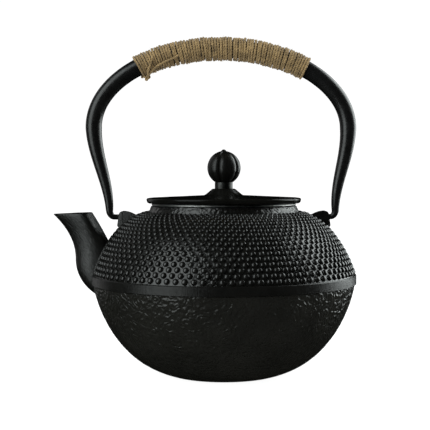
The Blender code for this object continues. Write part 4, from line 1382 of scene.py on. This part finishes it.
# %% Hemp
hemp, hemp_nodes, hemp_shader = plain_material("hemp", specular=0.3)
fibre = node(hemp_nodes, "ShaderNodeAttribute", attribute_name="fibre").outputs["Vector"]
place = node(hemp_nodes, "ShaderNodeTexCoord").outputs["Object"]
drawn = node(hemp_nodes, "ShaderNodeMapping", {"Vector": fibre, "Scale": (1.0, 1.0, 0.14)}).outputs[0]
strands = noise(hemp_nodes, drawn, 0.32 * MM, 3.0, roughness=0.65)
cloudy = noise(hemp_nodes, place, 5 * MM, 3.0)
light_share = sums(hemp_nodes, "ADD", ranged(hemp_nodes, strands, 0.0, 0.62),
                   ranged(hemp_nodes, cloudy, 0.0, 0.38))
hemp_nodes.links.new(tinted(hemp_nodes, light_share, (0.036, 0.021, 0.007), (0.56, 0.385, 0.17)),
                     hemp_shader.inputs["Base Color"])
hemp_shader.inputs["Roughness"].default_value = 0.85
hemp_shader.inputs["Sheen Weight"].default_value = 0.25
hemp_shader.inputs["Sheen Roughness"].default_value = 0.5
bumped(hemp_nodes, hemp_shader, strands, 0.25 * MM)

# %% [markdown]
# ## Winding the grip
# The guide is the rod's own centre line between the ends of the binding, with the rod's radius stored on
# it. The coil's ends lie within a degree of the ends of the frame's plain sleeve.

# %% Grip
GRIP_START = math.radians(-40.4)
GRIP_END = math.radians(42.1)
TURNS = 66
PLY = 0.56 * MM  # radius of one of the two plies
SPIN_PITCH = 3.4 * MM  # length over which the plies turn once
LIFT = 1.1 * MM  # height of the coil's middle above the rod
UNEVENNESS = 1.5 * MM


def guide(name, points):
    """A line of points (x, y, z, rod radius) for the winding tree."""
    mesh = bpy.data.meshes.new(name)
    mesh.from_pydata([point[:3] for point in points], [(i, i + 1) for i in range(len(points) - 1)], [])
    line = add_piece(name, mesh)
    mark(line, "rod_radius", [point[3] for point in points])
    return line


def spun(line, turns, points, lift, unevenness, spacing, seed, ply=PLY):
    add_tree(line, WINDING, turns=float(turns), points=points, lift=lift, unevenness=unevenness,
             material=hemp)
    add_tree(line, SPINNING, ply=ply, pitch=SPIN_PITCH, spacing=spacing, seed=seed, material=hemp)
    made_plain(line)
    return line


grip_guide = []
for i in range(241):
    x, z, rod_radius = arch_point(between(GRIP_START, GRIP_END, i / 240))
    grip_guide.append((leaning(x, z), 0.0, z, rod_radius))
grip = spun(guide("grip_twine", grip_guide), TURNS, TURNS * 80, LIFT, UNEVENNESS, 0.66 * MM, 1)
settle(grip, "bail", stands_for=["grip_wrap"], crease=180.0)

guide_length = sum(math.dist(a[:3], b[:3]) for a, b in zip(grip_guide, grip_guide[1:]))
mean_rod = sum(point[3] for point in grip_guide) / len(grip_guide)
turn_length = math.hypot(math.tau * (mean_rod + LIFT), guide_length / TURNS)
print("twine on the grip, m:", round(TURNS * turn_length, 2))

# %% [markdown]
# ## Knot and tail
# The free end of the twine is tied off in a small overhand knot under the left end of the grip, and a
# tail of it lies along the winding. A trefoil is an overhand knot with its ends joined, so its formula
# gives the lump. All of it is spun by the same tree as the coil, which is the gain of having made yarn a
# tree of its own.

# %% Loose ends
YARN_RADIUS = 1.62 * PLY


def on_grip(arch_degrees, around_degrees, lift):
    """A point near the grip. Around the rod, 0 is the top, 90 the front and 180 the underside."""
    angle = math.radians(arch_degrees)
    x, z, rod = arch_point(angle)
    ahead = arch_point(angle + 0.001)
    along = Vector((ahead[0] - x, 0.0, ahead[1] - z)).normalized()
    outwards = Vector((-along.z, 0.0, along.x))
    turn = math.radians(around_degrees)
    reach = rod + lift
    point = Vector((leaning(x, z), 0.0, z)) + outwards * reach * math.cos(turn)
    point.y -= reach * math.sin(turn)
    return point


def loose_end(name, stations, seed):
    """A smooth strand through stations (along the arch, round the rod, lift)."""
    points = []
    for i in range(len(stations) - 1):
        p = [Vector(stations[min(max(i + k, 0), len(stations) - 1)]) for k in (-1, 0, 1, 2)]
        for k in range(8):
            t = k / 8
            points.append(0.5 * (2 * p[1] + (p[2] - p[0]) * t + (2 * p[0] - 5 * p[1] + 4 * p[2] - p[3]) * t**2
                                 + (3 * p[1] - p[0] - 3 * p[2] + p[3]) * t**3))
    points.append(Vector(stations[-1]))
    line = [(*on_grip(*point), 0.0) for point in points]
    length = sum(math.dist(a[:3], b[:3]) for a, b in zip(line, line[1:]))
    print(name, "length, mm:", round(length / MM, 1))
    strand = spun(guide(name, line), 0, 90, 0.0, 0.0, 0.5 * MM, seed, 0.85 * PLY)
    return settle(strand, "bail", crease=180.0)


SURFACE = 1.0 * MM + 2 * YARN_RADIUS
loose_end("twine_tail", [(-38.5, 172, SURFACE), (-36.0, 150, SURFACE + 0.4 * MM), (-31.0, 128, SURFACE),
                         (-25.0, 118, SURFACE - 0.1 * MM), (-20.5, 112, SURFACE - 0.5 * MM),
                         (-19.0, 108, SURFACE - 1.6 * MM)], 5)
loose_end("twine_stray", [(-37.5, 168, SURFACE), (-36.5, 138, SURFACE + 0.5 * MM), (-33.5, 108, SURFACE),
                          (-31.5, 88, SURFACE - 0.3 * MM), (-31.0, 74, SURFACE - 1.5 * MM)], 9)


def make_knot():
    centre = on_grip(-38.0, 168, SURFACE + 0.3 * MM)
    line = []
    for i in range(61):
        t = math.tau * i / 60
        flat = Vector((math.sin(t) + 2 * math.sin(2 * t), math.cos(t) - 2 * math.cos(2 * t),
                       -math.sin(3 * t)))
        flat = Matrix.Rotation(math.radians(62), 3, "X") @ (flat * 0.62 * MM)
        line.append((*(centre + flat), 0.0))
    knot = spun(guide("twine_knot", line), 0, 110, 0.0, 0.0, 0.45 * MM, 4, 0.8 * PLY)
    return settle(knot, "bail", crease=180.0)


make_knot()

# %% [markdown]
# ## Fuzz
# Hemp is never clean: short fibres stand off the yarn everywhere, and they soften its outline. A third
# tree scatters points over the finished coil and plants a bent hair on each, leaning at random. One hair
# is a three-sided tube of very few faces, since it is repeated many hundreds of times.

# %% Fibres
HAIR_LENGTH = 2.2 * MM
HAIR_RADIUS = 0.045 * MM


def make_hair():
    rings = []
    for k in range(5):
        share = k / 4
        bend = HAIR_LENGTH * 0.35 * share**2
        thickness = HAIR_RADIUS * (1.0 - 0.6 * share)
        rings.append([(bend + thickness * math.cos(math.tau * i / 3), thickness * math.sin(math.tau * i / 3),
                       HAIR_LENGTH * share) for i in range(3)])
    return skinned("hair", rings)


def fuzz_tree():
    tree, given = new_tree("fuzz", hair=bpy.types.Object, density=float, seed=int,
                           material=bpy.types.Material)
    inputs = {"Mesh": given["Geometry"], "Seed": given["seed"], "Density": given["density"]}
    scatter = node(tree, "GeometryNodeDistributePointsOnFaces", inputs)
    inputs = {0: (-1.0, -1.0, -1.0), 1: (1.0, 1.0, 1.0), "Seed": given["seed"]}
    stray = node(tree, "FunctionNodeRandomValue", inputs, data_type="FLOAT_VECTOR").outputs[0]
    lean = vectors(tree, "ADD", scatter.outputs["Normal"], scaled(tree, stray, 1.5))
    stood = node(tree, "FunctionNodeAlignRotationToVector", {"Vector": lean}, axis="Z").outputs[0]
    size = node(tree, "FunctionNodeRandomValue", {2: 0.35, 3: 1.1, "Seed": given["seed"]},
                data_type="FLOAT").outputs[1]
    shape = node(tree, "GeometryNodeObjectInfo", {"Object": given["hair"]}).outputs["Geometry"]
    inputs = {"Points": scatter.outputs["Points"], "Instance": shape, "Rotation": stood, "Scale": size}
    planted = node(tree, "GeometryNodeInstanceOnPoints", inputs).outputs[0]
    finish_tree(tree, planted, given["material"])
    return tree


fuzz_finish, fuzz_nodes, fuzz_shader = plain_material("hemp_fibres", specular=0.3)
place = node(fuzz_nodes, "ShaderNodeTexCoord").outputs["Object"]
blotch = ranged(fuzz_nodes, noise(fuzz_nodes, place, 2 * MM), 0.0, 1.0)
fuzz_nodes.links.new(tinted(fuzz_nodes, blotch, (0.16, 0.11, 0.050), (0.50, 0.39, 0.22)),
                     fuzz_shader.inputs["Base Color"])
fuzz_shader.inputs["Roughness"].default_value = 0.8

fuzz = add_piece("grip_fibres", grip.data.copy())
hair = make_hair()
add_tree(fuzz, fuzz_tree(), hair=hair, density=0.8e5, seed=11, material=fuzz_finish)
made_plain(fuzz)
bpy.data.objects.remove(hair, do_unlink=True)
settle(fuzz, "bail", crease=180.0)

# %% [markdown]
# ## Light and camera
# Black enamel shows almost nothing but what it reflects, so the light is drawn by the reflections it
# leaves. A tall soft box stands at the front left, and gives the broad sheen on that side. A brighter one
# stands to the right and a little behind, and draws the strip along the right edge. Two weak ones, behind
# and above, lift the edges that would drown in black. The floor and the air are pale, but they are hidden
# from mirror-like rays, as a studio's dark surroundings would be.

# %% World and floor
scene = bpy.context.scene
scene.view_settings.view_transform = "Standard"
scene.view_settings.look = "None"

air = bpy.data.worlds.new("pale_air")
air.use_nodes = True
seen = node(air.node_tree, "ShaderNodeLightPath").outputs["Is Camera Ray"]
brightness = ranged(air.node_tree, seen, 0.55, 1.05, 0.0, 1.0)
air.node_tree.links.new(brightness, air.node_tree.nodes["Background"].inputs["Strength"])
air.node_tree.nodes["Background"].inputs["Color"].default_value = (1.0, 1.0, 1.0, 1.0)
air.cycles_visibility.glossy = False
scene.world = air

floor_mesh = bpy.data.meshes.new("studio_floor")
floor_mesh.from_pydata([(-6, -4, 0), (6, -4, 0), (6, 8, 0), (-6, 8, 0)], [], [(0, 1, 2, 3)])
floor = add_piece("studio_floor", floor_mesh)
floor.location.z = -0.0002
paper, paper_nodes, paper_shader = plain_material("paper", specular=0.1)
paper_shader.inputs["Base Color"].default_value = (0.3, 0.3, 0.3, 1.0)
paper_shader.inputs["Roughness"].default_value = 0.9
paper_shader.inputs["Emission Color"].default_value = (1.0, 1.0, 1.0, 1.0)
seen = node(paper_nodes, "ShaderNodeLightPath").outputs["Is Camera Ray"]
glow = ranged(paper_nodes, seen, 0.38, 0.95, 0.0, 1.0)
paper_nodes.links.new(glow, paper_shader.inputs["Emission Strength"])
floor_mesh.materials.append(paper)
floor.visible_glossy = False

# %% Soft boxes
AIM = Vector((0.0, 0.0, 0.09))


def soft_box(name, azimuth, elevation, distance, width, height, radiance, colour=(1.0, 1.0, 1.0)):
    """A rectangular lamp. The azimuth runs from the camera's side towards the right, in degrees."""
    turn = math.radians(azimuth)
    rise = math.radians(elevation)
    level = distance * math.cos(rise)
    lamp_data = bpy.data.lights.new(name, "AREA")
    lamp_data.shape = "RECTANGLE"
    lamp_data.size = width
    lamp_data.size_y = height
    lamp_data.energy = radiance * math.pi * width * height
    lamp_data.color = colour
    lamp = bpy.data.objects.new(name, lamp_data)
    lamp.location = AIM + Vector((level * math.sin(turn), -level * math.cos(turn), distance * math.sin(rise)))
    lamp.rotation_euler = (AIM - lamp.location).to_track_quat("-Z", "Y").to_euler()
    lamp.visible_camera = False
    scene.collection.objects.link(lamp)
    return lamp


COOL = (0.93, 1.0, 0.99)
soft_box("front_left", -53, 20, 1.6, 1.25, 2.2, 2.5, COOL)
soft_box("right", 117, 20, 1.6, 1.4, 1.65, 4.1, COOL)
soft_box("back_left", -135, 14, 1.8, 1.0, 1.6, 0.4)
soft_box("above", 20, 82, 1.7, 1.6, 1.6, 0.5).visible_glossy = False

# %% Camera
CAMERA_PLACE = Vector((-0.0056, -0.65, 0.123))
CAMERA_PITCH = math.radians(-1.97)
CAMERA_ROLL = math.radians(-0.1)

lens = bpy.data.cameras.new("camera")
lens.lens = 85.1
lens.sensor_width = 36.0
lens.clip_end = 50.0
camera = bpy.data.objects.new("camera", lens)
camera.matrix_world = (Matrix.Translation(CAMERA_PLACE) @ Matrix.Rotation(math.pi / 2 + CAMERA_PITCH, 4, "X")
                       @ Matrix.Rotation(CAMERA_ROLL, 4, "Z"))
scene.collection.objects.link(camera)
scene.camera = camera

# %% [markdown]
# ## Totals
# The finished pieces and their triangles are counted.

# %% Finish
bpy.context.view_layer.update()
triangles = sum(len(piece.data.loop_triangles) for piece in pieces)
print(len(pieces), "pieces,", triangles, "triangles in all")
